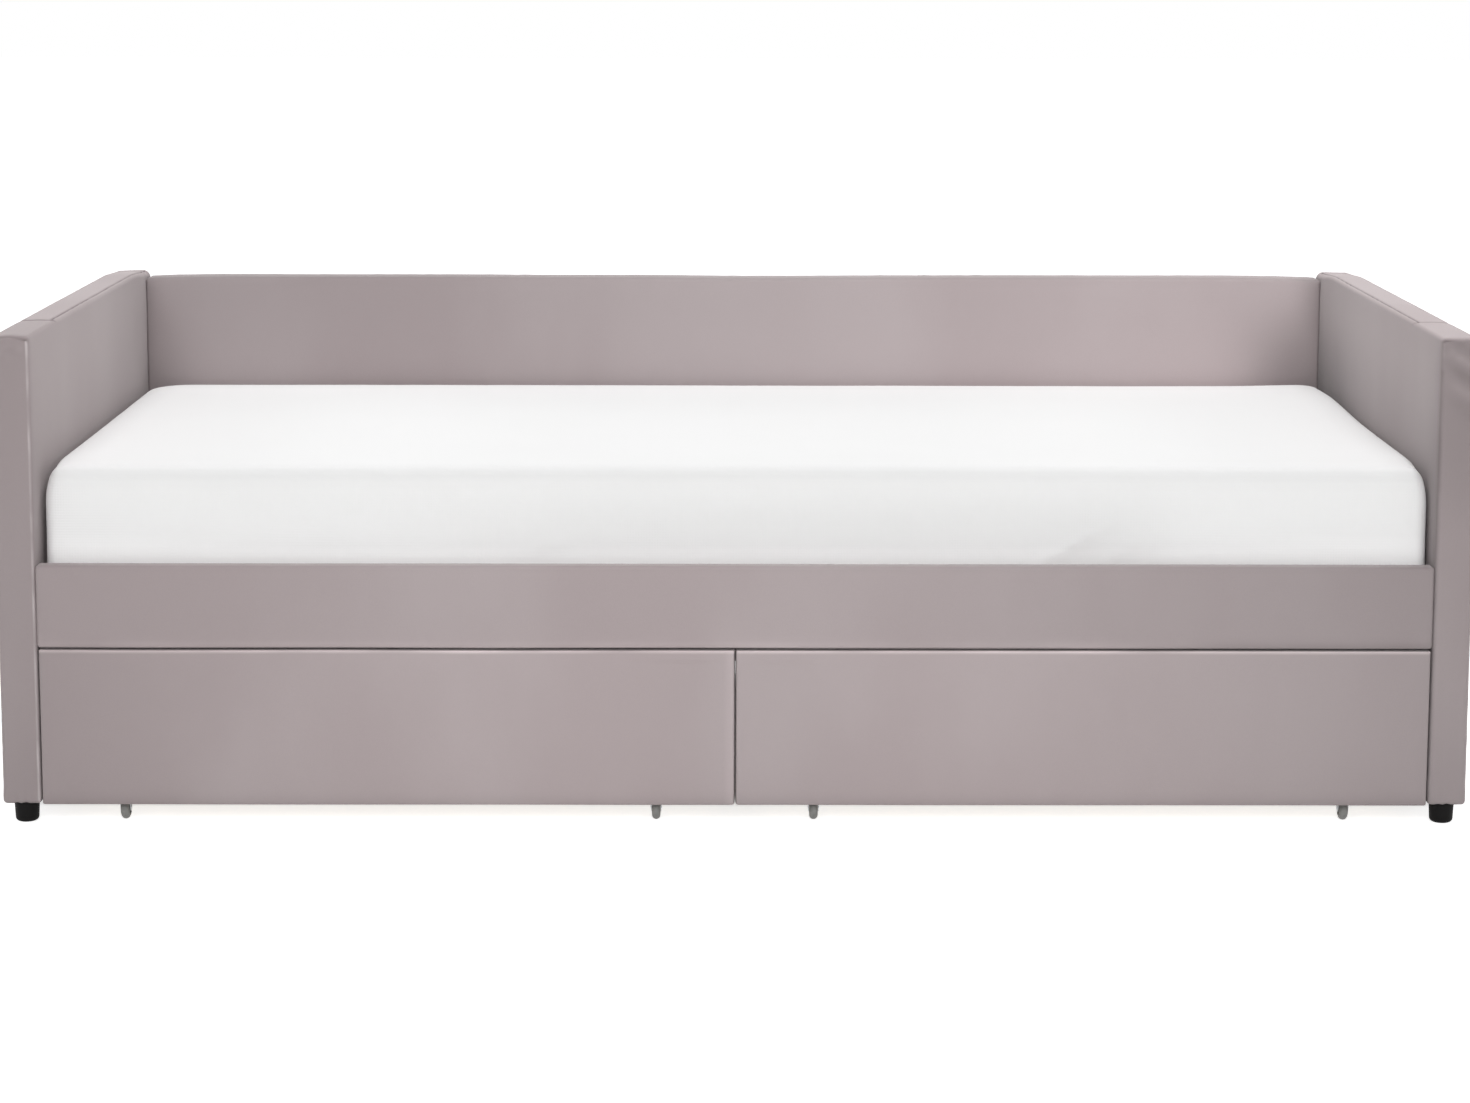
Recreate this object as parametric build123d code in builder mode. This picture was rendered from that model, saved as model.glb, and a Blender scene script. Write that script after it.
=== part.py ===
from build123d import *
import os
from math import cos, radians, sin

# Storage daybed: two arms, a back and a low front rail round a single mattress, over two drawers on castors.
# Millimetres. +Z is up and the floor is z = 0. The front faces -Y, and the origin is on the floor under the
# middle of the whole daybed. Paired pieces are made for the right-hand side, then mirrored to the left.

# Mattress
mattress_length = 2000.0
mattress_width = 900.0
mattress_thickness = 165.0
mattress_corner_radius = 62.0
mattress_top_round = 26.0
mattress_foot_round = 14.0
mattress_crown = 4.0
mattress_drawn_in = 3.0
mattress_side_gap = 10.0
mattress_front_gap = 3.0
mattress_back_gap = 9.0
mattress_sink = 31.0
soft_gap = 0.3

# Upholstered slabs: the two arms and the back
arm_height = 718.0
arm_thickness = 55.0
back_thickness = 55.0
back_step = 10.0
panel_padding = 8.0
panel_edge_radius = 5.0
hardboard_thickness = 3.0
end_post_width = 90.0
mid_post_width = 40.0
frame_rail_height = 45.0
arm_mid_posts = 3
back_mid_posts = 9

# Front rail
rail_top = 385.0
rail_height = 121.0
rail_thickness = 28.0
rail_padding = 5.0
rail_edge_radius = 4.5

# Slatted base
slat_count = 13
slat_width = 72.0
slat_thickness = 15.0
slat_end_gap = 2.0
slat_side_margin = 24.0
ledge_width = 26.0
ledge_height = 30.0
ledge_end_gap = 1.0
strap_width = 25.0
strap_thickness = 1.2
strap_spread = 520.0

# Feet
foot_height = 33.0
foot_top_radius = 18.5
foot_sole_radius = 17.0
foot_sole_chamfer = 4.0
foot_setback = 33.0
foot_stud_radius = 4.0
foot_stud_length = 22.0

# Corner brackets and the coach screws through them
bracket_leg = 58.0
bracket_height = 40.0
bracket_thickness = 3.0
bracket_bend_radius = 2.0
bracket_hole_offset = 38.0
bracket_ledge_gap = 2.0
coach_screw_radius = 4.0
coach_screw_clearance = 0.5
coach_head_radius = 7.0
coach_head_height = 5.3
slab_screw_bite = 28.0
rail_screw_bite = 14.0

# Drawer fronts
drawer_floor_gap = 31.5
drawer_top_gap = 2.2
drawer_side_gap = 2.0
drawer_centre_gap = 3.0
drawer_front_thickness = 20.0
drawer_padding = 4.0
drawer_edge_radius = 3.5

# Drawer boxes
box_side_gap = 23.0
box_depth = 680.0
box_floor_gap = 46.0
box_top_drop = 52.0
box_board = 12.0
box_bottom_thickness = 12.0

# Castors
wheel_radius = 18.0
wheel_width = 12.5
wheel_running_clearance = 0.05
wheel_side_gap = 0.4
castor_side_inset = 91.0
castor_front_gap = 3.5
castor_rear_setback = 48.0
castor_plate_width = 44.0
castor_plate_length = 34.0
castor_plate_thickness = 1.5
castor_cheek_thickness = 1.0
castor_cheek_top = 30.0
castor_cheek_end_radius = 6.5
pin_radius = 2.0
pin_overhang = 0.8

# The slabs' and rail's faces
arm_inner_x = mattress_length / 2 + mattress_side_gap
arm_outer_x = arm_inner_x + arm_thickness
arm_centre_x = (arm_inner_x + arm_outer_x) / 2
overall_depth = rail_thickness + mattress_front_gap + mattress_width + mattress_back_gap + back_thickness
front_y = -overall_depth / 2
rear_y = overall_depth / 2
rail_rear_y = front_y + rail_thickness
back_front_y = rear_y - back_thickness
back_height = arm_height - back_step
rail_bottom = rail_top - rail_height

# The slatted base's heights, and where the mattress lies
slat_top = rail_top - mattress_sink
slat_bottom = slat_top - slat_thickness
ledge_bottom = slat_bottom - ledge_height
slat_centre_y = (rail_rear_y + back_front_y) / 2
slat_length = back_front_y - rail_rear_y - 2 * slat_end_gap
slat_pitch = (2 * arm_inner_x - 2 * slat_side_margin - slat_width) / (slat_count - 1)
mattress_bottom = slat_top + soft_gap
mattress_centre_y = rail_rear_y + mattress_front_gap + mattress_width / 2

# The corner brackets tuck under the ledges
bracket_z = ledge_bottom - bracket_ledge_gap - bracket_height / 2

# The drawers' faces, on the right-hand side
drawer_width = (2 * arm_inner_x - drawer_centre_gap - 2 * drawer_side_gap) / 2
drawer_centre_x = (drawer_centre_gap + drawer_width) / 2
drawer_top = rail_bottom - drawer_top_gap
drawer_height = drawer_top - drawer_floor_gap
drawer_centre_z = (drawer_top + drawer_floor_gap) / 2
box_front_y = front_y + drawer_front_thickness
box_rear_y = box_front_y + box_depth
box_centre_y = (box_front_y + box_rear_y) / 2
box_floor = box_floor_gap + box_bottom_thickness
box_side_height = drawer_top - box_top_drop - box_floor
box_width = drawer_width - 2 * box_side_gap
box_side_x = (box_width - box_board) / 2
box_inner_width = box_width - 2 * box_board
castor_reach = box_width / 2 - castor_side_inset
castor_ys = (box_front_y + castor_front_gap + wheel_radius, box_rear_y - castor_rear_setback)
castor_places = [(drawer_centre_x + side * castor_reach, y) for side in (-1, 1) for y in castor_ys]
castor_plate_z = box_floor_gap - castor_plate_thickness
cheek_inner_x = wheel_width / 2 + wheel_side_gap
cheek_outer_x = cheek_inner_x + castor_cheek_thickness
pin_hole_radius = pin_radius + wheel_running_clearance

os.makedirs("parts", exist_ok=True)


def finish(piece, label):
    """Label a finished piece and write it out."""
    piece.part.label = label
    export_step(piece.part, f"parts/{label}.step")


def finish_pair(piece, label):
    """Write a right-hand piece, and its mirrored twin for the left."""
    finish(piece, f"right_{label}")
    with BuildPart() as twin:
        mirror(piece.part, about=Plane.YZ)
    finish(twin, f"left_{label}")


# Arm covers: velvet on thin foam round all but the underside, where it is stapled
slab_base = Plane.XY.offset(foot_height)
arm_face = Plane.YZ.offset(arm_inner_x)

with BuildPart() as arm_cover:
    with BuildSketch(slab_base):
        with Locations((arm_centre_x, 0)):
            Rectangle(arm_thickness, overall_depth)
    extrude(amount=arm_height - foot_height)
    fillet(arm_cover.faces().sort_by(Axis.Z)[-1].edges(), radius=panel_edge_radius)
    with BuildSketch(slab_base):
        with Locations((arm_centre_x, 0)):
            Rectangle(arm_thickness - 2 * panel_padding, overall_depth - 2 * panel_padding)
    extrude(amount=arm_height - foot_height - panel_padding, mode=Mode.SUBTRACT)
finish_pair(arm_cover, "arm_cover")


# Back cover, the same between the arms
back_centre_y = (back_front_y + rear_y) / 2
back_face = Plane.XZ.offset(-back_front_y)

with BuildPart() as back_cover:
    with BuildSketch(slab_base):
        with Locations((0, back_centre_y)):
            Rectangle(2 * arm_inner_x, back_thickness)
    extrude(amount=back_height - foot_height)
    top_edges = back_cover.faces().sort_by(Axis.Z)[-1].edges().filter_by(Axis.X)
    fillet(top_edges, radius=panel_edge_radius)
    with BuildSketch(slab_base):
        with Locations((0, back_centre_y)):
            Rectangle(2 * (arm_inner_x - panel_padding), back_thickness - 2 * panel_padding)
    extrude(amount=back_height - foot_height - panel_padding, mode=Mode.SUBTRACT)
finish(back_cover, "back_cover")


# Frames inside the slabs: rails above and below, wide posts at the ends and narrow ones between
core_skin = panel_padding + hardboard_thickness
arm_core_length = overall_depth - 2 * panel_padding
arm_core_height = arm_height - foot_height - panel_padding
back_core_length = 2 * (arm_inner_x - panel_padding)
back_core_height = back_height - foot_height - panel_padding


def frame_outline(length, height, mid_posts):
    """Draw a frame standing on its lower edge, with the windows between its posts cut out."""
    window_width = (length - 2 * end_post_width - mid_posts * mid_post_width) / (mid_posts + 1)
    with Locations((0, foot_height + height / 2)):
        Rectangle(length, height)
        with GridLocations(window_width + mid_post_width, 0, mid_posts + 1, 1):
            Rectangle(window_width, height - 2 * frame_rail_height, mode=Mode.SUBTRACT)


with BuildPart() as arm_frame:
    with BuildSketch(arm_face.offset(core_skin)):
        frame_outline(arm_core_length, arm_core_height, arm_mid_posts)
    extrude(amount=arm_thickness - 2 * core_skin)
finish_pair(arm_frame, "arm_frame")

with BuildPart() as back_frame:
    with BuildSketch(back_face.offset(-core_skin)):
        frame_outline(back_core_length, back_core_height, back_mid_posts)
    extrude(amount=2 * core_skin - back_thickness)
finish(back_frame, "back_frame")


# Hardboard faces, glued to both sides of each frame
with BuildPart() as arm_hardboards:
    for face_x in (arm_inner_x + panel_padding, arm_outer_x - core_skin):
        with BuildSketch(Plane.YZ.offset(face_x)):
            with Locations((0, foot_height + arm_core_height / 2)):
                Rectangle(arm_core_length, arm_core_height)
        extrude(amount=hardboard_thickness)
    mirror(about=Plane.YZ)
finish(arm_hardboards, "arm_hardboards")

with BuildPart() as back_hardboards:
    for face_y in (back_front_y + panel_padding, rear_y - core_skin):
        with BuildSketch(Plane.XZ.offset(-face_y)):
            with Locations((0, foot_height + back_core_height / 2)):
                Rectangle(back_core_length, back_core_height)
        extrude(amount=-hardboard_thickness)
finish(back_hardboards, "back_hardboards")


# Front rail: a board in a velvet sleeve, butted against the arms
rail_centre = (front_y + rail_thickness / 2, rail_bottom + rail_height / 2)

with BuildPart() as rail_board:
    with BuildSketch(Plane.YZ):
        with Locations(rail_centre):
            Rectangle(rail_thickness - 2 * rail_padding, rail_height - 2 * rail_padding)
    extrude(amount=arm_inner_x, both=True)
finish(rail_board, "front_rail_board")

with BuildPart() as rail_cover:
    with BuildSketch(Plane.YZ) as rail_section:
        with Locations(rail_centre):
            Rectangle(rail_thickness, rail_height)
        fillet(rail_section.vertices(), radius=rail_edge_radius)
        with Locations(rail_centre):
            Rectangle(rail_thickness - 2 * rail_padding, rail_height - 2 * rail_padding, mode=Mode.SUBTRACT)
    extrude(amount=arm_inner_x, both=True)
finish(rail_cover, "front_rail_cover")


# Ledges glued along the rail and the back, with the slats lying on them
ledge_centre_z = slat_bottom - ledge_height / 2
ledge_centres = {"front": rail_rear_y + ledge_width / 2, "rear": back_front_y - ledge_width / 2}

for place, ledge_y in ledge_centres.items():
    with BuildPart() as ledge:
        with BuildSketch(Plane.YZ):
            with Locations((ledge_y, ledge_centre_z)):
                Rectangle(ledge_width, ledge_height)
        extrude(amount=arm_inner_x - ledge_end_gap, both=True)
    finish(ledge, f"{place}_slat_ledge")

slat_section_plane = Plane.XZ.offset(-slat_centre_y)

for number in range(slat_count):
    slat_x = (number - (slat_count - 1) / 2) * slat_pitch
    with BuildPart() as slat:
        with BuildSketch(slat_section_plane):
            with Locations((slat_x, slat_top - slat_thickness / 2)):
                Rectangle(slat_width, slat_thickness)
        extrude(amount=slat_length / 2, both=True)
    finish(slat, f"slat_{number + 1:02d}")

with BuildPart() as slat_straps:
    with BuildSketch(Plane.XY.offset(slat_bottom - strap_thickness)):
        with Locations((0, slat_centre_y - strap_spread / 2), (0, slat_centre_y + strap_spread / 2)):
            Rectangle((slat_count - 1) * slat_pitch + slat_width, strap_width)
    extrude(amount=strap_thickness)
finish(slat_straps, "slat_straps")


# Feet: four tapered plastic mouldings, each on a stud that screws up into an arm's lower rail
with BuildPart() as feet:
    for foot_side in (-1, 1):
        for foot_y in (front_y + foot_setback, rear_y - foot_setback):
            foot_centre = (foot_side * arm_centre_x, foot_y, 0)
            with BuildSketch(Plane(origin=foot_centre, x_dir=(1, 0, 0), z_dir=(0, -1, 0))) as foot_profile:
                with BuildLine():
                    Polyline(
                        (0, 0),
                        (foot_sole_radius, 0),
                        (foot_top_radius, foot_height),
                        (foot_stud_radius, foot_height),
                        (foot_stud_radius, foot_height + foot_stud_length),
                        (0, foot_height + foot_stud_length),
                        close=True,
                    )
                make_face()
                sole_corner = foot_profile.vertices().group_by(Axis.Y)[0].sort_by(Axis.X)[-1]
                chamfer(sole_corner, length=foot_sole_chamfer)
            revolve(axis=Axis(foot_centre, (0, 0, 1)))
finish(feet, "feet")


# Corner brackets: pressed angles under the ledges' ends, screwed to an arm and to the rail or the back
bracket_corners = [
    (side, *corner)
    for side in (-1, 1)
    for corner in (
        (rail_rear_y, 1, rail_padding + rail_screw_bite),
        (back_front_y, -1, core_skin + slab_screw_bite),
    )
]


def screw_planes(side, corner_y, into):
    """Give the planes on a bracket's two inner faces, facing the arm, and the rail or back."""
    arm_place = (side * (arm_inner_x - bracket_thickness), corner_y + into * bracket_hole_offset, bracket_z)
    panel_place = (side * (arm_inner_x - bracket_hole_offset), corner_y + into * bracket_thickness, bracket_z)
    return Plane(origin=arm_place, z_dir=(side, 0, 0)), Plane(origin=panel_place, z_dir=(0, -into, 0))


with BuildPart() as corner_brackets:
    for side, corner_y, into, reach in bracket_corners:
        angle_points = [
            (side * (arm_inner_x - along_x), corner_y + into * along_y)
            for along_x, along_y in (
                (0, 0),
                (bracket_leg, 0),
                (bracket_leg, bracket_thickness),
                (bracket_thickness, bracket_thickness),
                (bracket_thickness, bracket_leg),
                (0, bracket_leg),
            )
        ]
        with BuildSketch(Plane.XY.offset(bracket_z - bracket_height / 2)) as angle:
            with BuildLine():
                Polyline(*angle_points, close=True)
            make_face()
            bend = (side * (arm_inner_x - bracket_thickness), corner_y + into * bracket_thickness)
            fillet(angle.vertices().sort_by_distance(bend)[0], radius=bracket_bend_radius)
        extrude(amount=bracket_height)
        for screw_plane in screw_planes(side, corner_y, into):
            with BuildSketch(screw_plane):
                Circle(coach_screw_radius + coach_screw_clearance)
            extrude(amount=bracket_thickness, mode=Mode.SUBTRACT)
finish(corner_brackets, "corner_brackets")

with BuildPart() as coach_screws:
    for side, corner_y, into, reach in bracket_corners:
        arm_plane, panel_plane = screw_planes(side, corner_y, into)
        for screw_plane, depth in ((arm_plane, core_skin + slab_screw_bite), (panel_plane, reach)):
            with BuildSketch(screw_plane):
                Circle(coach_screw_radius)
            extrude(amount=bracket_thickness + depth)
            with BuildSketch(screw_plane):
                RegularPolygon(coach_head_radius, side_count=6)
            extrude(amount=-coach_head_height)
finish(coach_screws, "coach_screws")


# Mattress: a loft through rounded rectangles, round-shouldered, slightly crowned and drawn in at half height
def mattress_sections():
    """Yield each section's height above the underside and its inset from the full outline."""
    yield 0, mattress_foot_round
    yield mattress_foot_round, 0
    yield mattress_thickness / 2, mattress_drawn_in
    shoulder = mattress_thickness - mattress_crown - mattress_top_round
    for angle in (0, 45, 90):
        turn = radians(angle)
        yield shoulder + mattress_top_round * sin(turn), mattress_top_round * (1 - cos(turn))
    yield mattress_thickness, mattress_top_round + mattress_width / 4


with BuildPart() as mattress:
    for height, inset in mattress_sections():
        with BuildSketch(Plane.XY.offset(mattress_bottom + height)):
            with Locations((0, mattress_centre_y)):
                length, width = mattress_length - 2 * inset, mattress_width - 2 * inset
                RectangleRounded(length, width, mattress_corner_radius)
    loft(ruled=True)
finish(mattress, "mattress")


# Drawer front: a board in velvet that turns in over its edges and leaves its rear bare
drawer_front_rear = Plane.XZ.offset(-box_front_y)

with BuildPart() as drawer_front_cover:
    with BuildSketch(drawer_front_rear):
        with Locations((drawer_centre_x, drawer_centre_z)):
            Rectangle(drawer_width, drawer_height)
    extrude(amount=drawer_front_thickness)
    fillet(drawer_front_cover.faces().sort_by(Axis.Y)[0].edges(), radius=drawer_edge_radius)
    with BuildSketch(drawer_front_rear):
        with Locations((drawer_centre_x, drawer_centre_z)):
            Rectangle(drawer_width - 2 * drawer_padding, drawer_height - 2 * drawer_padding)
    extrude(amount=drawer_front_thickness - drawer_padding, mode=Mode.SUBTRACT)
finish_pair(drawer_front_cover, "drawer_front_cover")

with BuildPart() as drawer_front_board:
    with BuildSketch(drawer_front_rear):
        with Locations((drawer_centre_x, drawer_centre_z)):
            Rectangle(drawer_width - 2 * drawer_padding, drawer_height - 2 * drawer_padding)
    extrude(amount=drawer_front_thickness - drawer_padding)
finish_pair(drawer_front_board, "drawer_front_board")


# Drawer box: four boards standing on a stout bottom, which carries the castors
box_side_base = Plane.XY.offset(box_floor)

with BuildPart() as box_bottom:
    with BuildSketch(Plane.XY.offset(box_floor_gap)):
        with Locations((drawer_centre_x, box_centre_y)):
            Rectangle(box_width, box_depth)
    extrude(amount=box_bottom_thickness)
finish_pair(box_bottom, "drawer_bottom")

for hand, side in (("inner", -1), ("outer", 1)):
    with BuildPart() as box_side:
        with BuildSketch(box_side_base):
            with Locations((drawer_centre_x + side * box_side_x, box_centre_y)):
                Rectangle(box_board, box_depth)
        extrude(amount=box_side_height)
    finish_pair(box_side, f"drawer_{hand}_side")

with BuildPart() as box_front:
    with BuildSketch(box_side_base):
        with Locations((drawer_centre_x, box_front_y + box_board / 2)):
            Rectangle(box_inner_width, box_board)
    extrude(amount=box_side_height)
finish_pair(box_front, "drawer_box_front")

with BuildPart() as box_back:
    with BuildSketch(box_side_base):
        with Locations((drawer_centre_x, box_rear_y - box_board / 2)):
            Rectangle(box_inner_width, box_board)
    extrude(amount=box_side_height)
finish_pair(box_back, "drawer_back")


# Castors: a plate with two tapered cheeks, an axle pin across them, and a wheel between
def castor_bracket(castor_x, castor_y):
    """Add one pressed bracket, its cheeks hulled from a wide top to a round end at the axle."""
    with BuildSketch(Plane.XY.offset(castor_plate_z)) as plate:
        with Locations((castor_x, castor_y)):
            Rectangle(castor_plate_width, castor_plate_length)
    extrude(plate.sketch, amount=castor_plate_thickness)
    for cheek_x in (castor_x - cheek_outer_x, castor_x + cheek_inner_x):
        with BuildSketch(Plane.YZ.offset(cheek_x)) as cheek:
            with BuildLine():
                Line(
                    (castor_y - castor_cheek_top / 2, castor_plate_z),
                    (castor_y + castor_cheek_top / 2, castor_plate_z),
                )
                CenterArc((castor_y, wheel_radius), castor_cheek_end_radius, 0, 360)
            make_hull()
            with Locations((castor_y, wheel_radius)):
                Circle(pin_hole_radius, mode=Mode.SUBTRACT)
        extrude(cheek.sketch, amount=castor_cheek_thickness)


with BuildPart() as castor_brackets:
    for place in castor_places:
        castor_bracket(*place)
finish_pair(castor_brackets, "drawer_castor_brackets")

with BuildPart() as axle_pins:
    for castor_x, castor_y in castor_places:
        with BuildSketch(Plane.YZ.offset(castor_x)):
            with Locations((castor_y, wheel_radius)):
                Circle(pin_radius)
        extrude(amount=cheek_outer_x + pin_overhang, both=True)
finish_pair(axle_pins, "drawer_axle_pins")

wheel_names = ("front_inner", "rear_inner", "front_outer", "rear_outer")
for wheel_name, (castor_x, castor_y) in zip(wheel_names, castor_places):
    with BuildPart() as wheel:
        with BuildSketch(Plane.YZ.offset(castor_x)):
            with Locations((castor_y, wheel_radius)):
                Circle(wheel_radius)
                Circle(pin_hole_radius, mode=Mode.SUBTRACT)
        extrude(amount=wheel_width / 2, both=True)
    finish_pair(wheel, f"drawer_{wheel_name}_wheel")
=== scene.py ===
"""Storage daybed: velvet, mattress, castors and finishes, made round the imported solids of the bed."""

import math

import bmesh
import bpy
from bpy.props import FloatProperty, FloatVectorProperty, PointerProperty
from mathutils import Matrix, Vector, geometry, noise


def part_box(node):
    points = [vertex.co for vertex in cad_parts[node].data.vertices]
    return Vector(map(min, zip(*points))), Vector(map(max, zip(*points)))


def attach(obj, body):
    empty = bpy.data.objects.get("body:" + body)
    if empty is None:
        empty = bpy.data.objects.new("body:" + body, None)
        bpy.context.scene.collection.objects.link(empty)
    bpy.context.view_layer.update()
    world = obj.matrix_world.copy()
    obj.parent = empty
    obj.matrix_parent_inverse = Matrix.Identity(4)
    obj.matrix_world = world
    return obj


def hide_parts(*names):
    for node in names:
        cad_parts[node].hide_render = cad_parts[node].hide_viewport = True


bl_info = {
    "name": "Storage Daybed",
    "version": (1, 0, 0),
    "blender": (4, 5, 0),
    "location": "3D View > Sidebar > Daybed",
    "description": "Upholstery, mattress, castors and finishes for a storage daybed",
    "category": "Object",
}

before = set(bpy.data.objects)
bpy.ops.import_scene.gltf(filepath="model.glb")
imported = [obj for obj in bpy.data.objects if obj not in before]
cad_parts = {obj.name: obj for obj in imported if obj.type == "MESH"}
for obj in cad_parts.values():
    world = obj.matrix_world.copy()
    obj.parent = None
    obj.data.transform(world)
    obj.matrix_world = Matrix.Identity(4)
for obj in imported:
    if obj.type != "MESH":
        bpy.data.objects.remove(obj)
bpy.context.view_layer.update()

SIDES = {"left": -1, "right": 1}
WHEELS = ("front_inner", "rear_inner", "front_outer", "rear_outer")
WHITE = (1.0, 1.0, 1.0, 1.0)


def linear(code):
    """Turn an sRGB hex colour into the linear values that Blender works in."""
    levels = [int(code[n : n + 2], 16) / 255 for n in (1, 3, 5)]
    return [v / 12.92 if v <= 0.04045 else ((v + 0.055) / 1.055) ** 2.4 for v in levels]


def length_setting(name, description, default, lowest=0.0001, highest=1.0):
    """Describe a length that a user may change."""
    kind = {"min": lowest, "max": highest, "precision": 4, "unit": "LENGTH"}
    return FloatProperty(name=name, description=description, default=default, **kind)


def strength_setting(name, description, default, highest):
    """Describe a strength that a user may change."""
    return FloatProperty(name=name, description=description, default=default, min=0.0, max=highest)


def power_setting(name, description, default):
    """Describe a lamp's power that a user may change."""
    return FloatProperty(name=name, description=description, default=default, min=0.0, unit="POWER")


def colour_setting(name, description, code):
    """Describe a colour that a user may change."""
    return FloatVectorProperty(
        name=name, description=description, default=linear(code), min=0.0, max=1.0, size=3, subtype="COLOR"
    )


# Settings


class DaybedVelvetSettings(bpy.types.PropertyGroup):
    """Sizes and colours of the upholstery."""

    pile: colour_setting("Pile", "Velvet with its pile brushed towards the light", "#B8ADAE")
    shade: colour_setting("Shade", "Velvet with its pile brushed away from the light", "#B1A5A6")
    # The next colour is painted shade, laid into seams and along lines where a cover meets its neighbours;
    # the one after it is a painted highlight along some seam edges
    seam: colour_setting("Seam", "Velvet down inside a seam", "#6A5F60")
    painted_highlight: colour_setting("Fold", "Velvet bent over a seam, where its ground shows", "#CCC3C4")
    edge_radius: length_setting("Edge radius", "Rounding of the slabs over their foam", 0.0052)
    puff: length_setting("Puff", "How far the foam swells the slabs' faces", 0.0016)
    cell: length_setting("Cell", "Size of the cells that the covers are cut into", 0.013, 0.006)
    seam_depth: length_setting("Seam depth", "How far a seam draws the cover in", 0.0017)
    arm_band: length_setting("Arm band", "Length of the front strip that turns over an arm's top", 0.197)


class DaybedMattressSettings(bpy.types.PropertyGroup):
    """Sizes and colours of the mattress."""

    cloth: colour_setting("Cloth", "White knitted mattress cloth", "#F6F6F6")
    front_corner: length_setting("Front corners", "Rounding of its upright corners at the front", 0.020)
    rear_corner: length_setting("Rear corners", "Rounding of its upright corners at the back", 0.075)
    top_round: length_setting("Top rounding", "Rounding of its upper edge", 0.021)
    foot_round: length_setting("Lower rounding", "Rounding of its lower edge", 0.012)
    rise: length_setting("Rise", "How far the cloth stands above the plain solid", 0.0062)
    crown: length_setting("Crown", "Further rise of the top in the middle", 0.0015)
    cell: length_setting("Cell", "Size of the cells that the cloth is cut into", 0.020, 0.01)
    pressure: strength_setting("Filling pressure", "Pressure of the filling in the simulation", 4.0, 20.0)


class DaybedFittingSettings(bpy.types.PropertyGroup):
    """Sizes and colours of the feet, castors, screws and staples."""

    foot: colour_setting("Foot", "Black moulded plastic", "#100F0F")
    wheel: colour_setting("Wheel", "Grey moulded plastic", "#8C8C8A")
    steel: colour_setting("Steel", "Bright zinc plating", "#C6C9CC")
    wheel_crown: length_setting("Wheel crown", "Height of the rounded tread above its sides", 0.006)
    foot_round: length_setting("Foot rounding", "Rounding round a foot's sole", 0.006)
    screw_radius: length_setting("Screw head radius", "Radius of a wood screw's head", 0.0038)
    staple_pitch: length_setting("Staple pitch", "Distance from one staple to the next", 0.055)


class DaybedTimberSettings(bpy.types.PropertyGroup):
    """Colours of the boards and slats."""

    pine: colour_setting("Pine", "Planed pine between its growth rings", "#E3C79B")
    pine_ring: colour_setting("Pine rings", "The darker late wood of the pine", "#C99E66")
    birch: colour_setting("Birch", "Face veneer of the plywood", "#E0C9A4")
    birch_ply: colour_setting("Cross plies", "End grain of every second ply", "#B58F62")
    fibre: colour_setting("Hardboard", "Pressed wood fibre", "#6B4F38")
    arris: length_setting("Arris", "Sanding of the boards' edges", 0.0007)


class DaybedStageSettings(bpy.types.PropertyGroup):
    """Floor, light and camera."""

    floor: colour_setting("Floor", "Plain pale floor", "#F7F7F6")
    floor_size: length_setting("Floor size", "Width of the floor", 60.0, 4.0, 200.0)
    sky: strength_setting("Room light", "Strength of the even light from all round", 0.2, 2.0)
    key_power: power_setting("Key light", "Power of the lamp in front and above", 108.0)
    top_power: power_setting("Top light", "Power of the large lamp overhead", 66.0)
    fill_power: power_setting("Fill lights", "Power of each of the two lamps behind the bed", 32.0)
    lens: FloatProperty(
        name="Focal length",
        description="Focal length on a frame 36 mm wide",
        default=78.81,
        min=20.0,
        max=300.0,
        unit="CAMERA",
    )
    tilt: FloatProperty(
        name="Tilt", description="How far the camera looks down", default=math.radians(8), subtype="ANGLE"
    )


# Materials


def add_node(tree, kind, settings=None, inputs=None):
    """Add one node to a material. Each of its inputs takes a value, or another node's output."""
    node = tree.nodes.new(f"ShaderNode{kind}")
    for name, value in (settings or {}).items():
        setattr(node, name, value)
    for name, value in (inputs or {}).items():
        if isinstance(value, bpy.types.NodeSocket):
            tree.links.new(value, node.inputs[name])
        else:
            node.inputs[name].default_value = value
    return node


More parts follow.
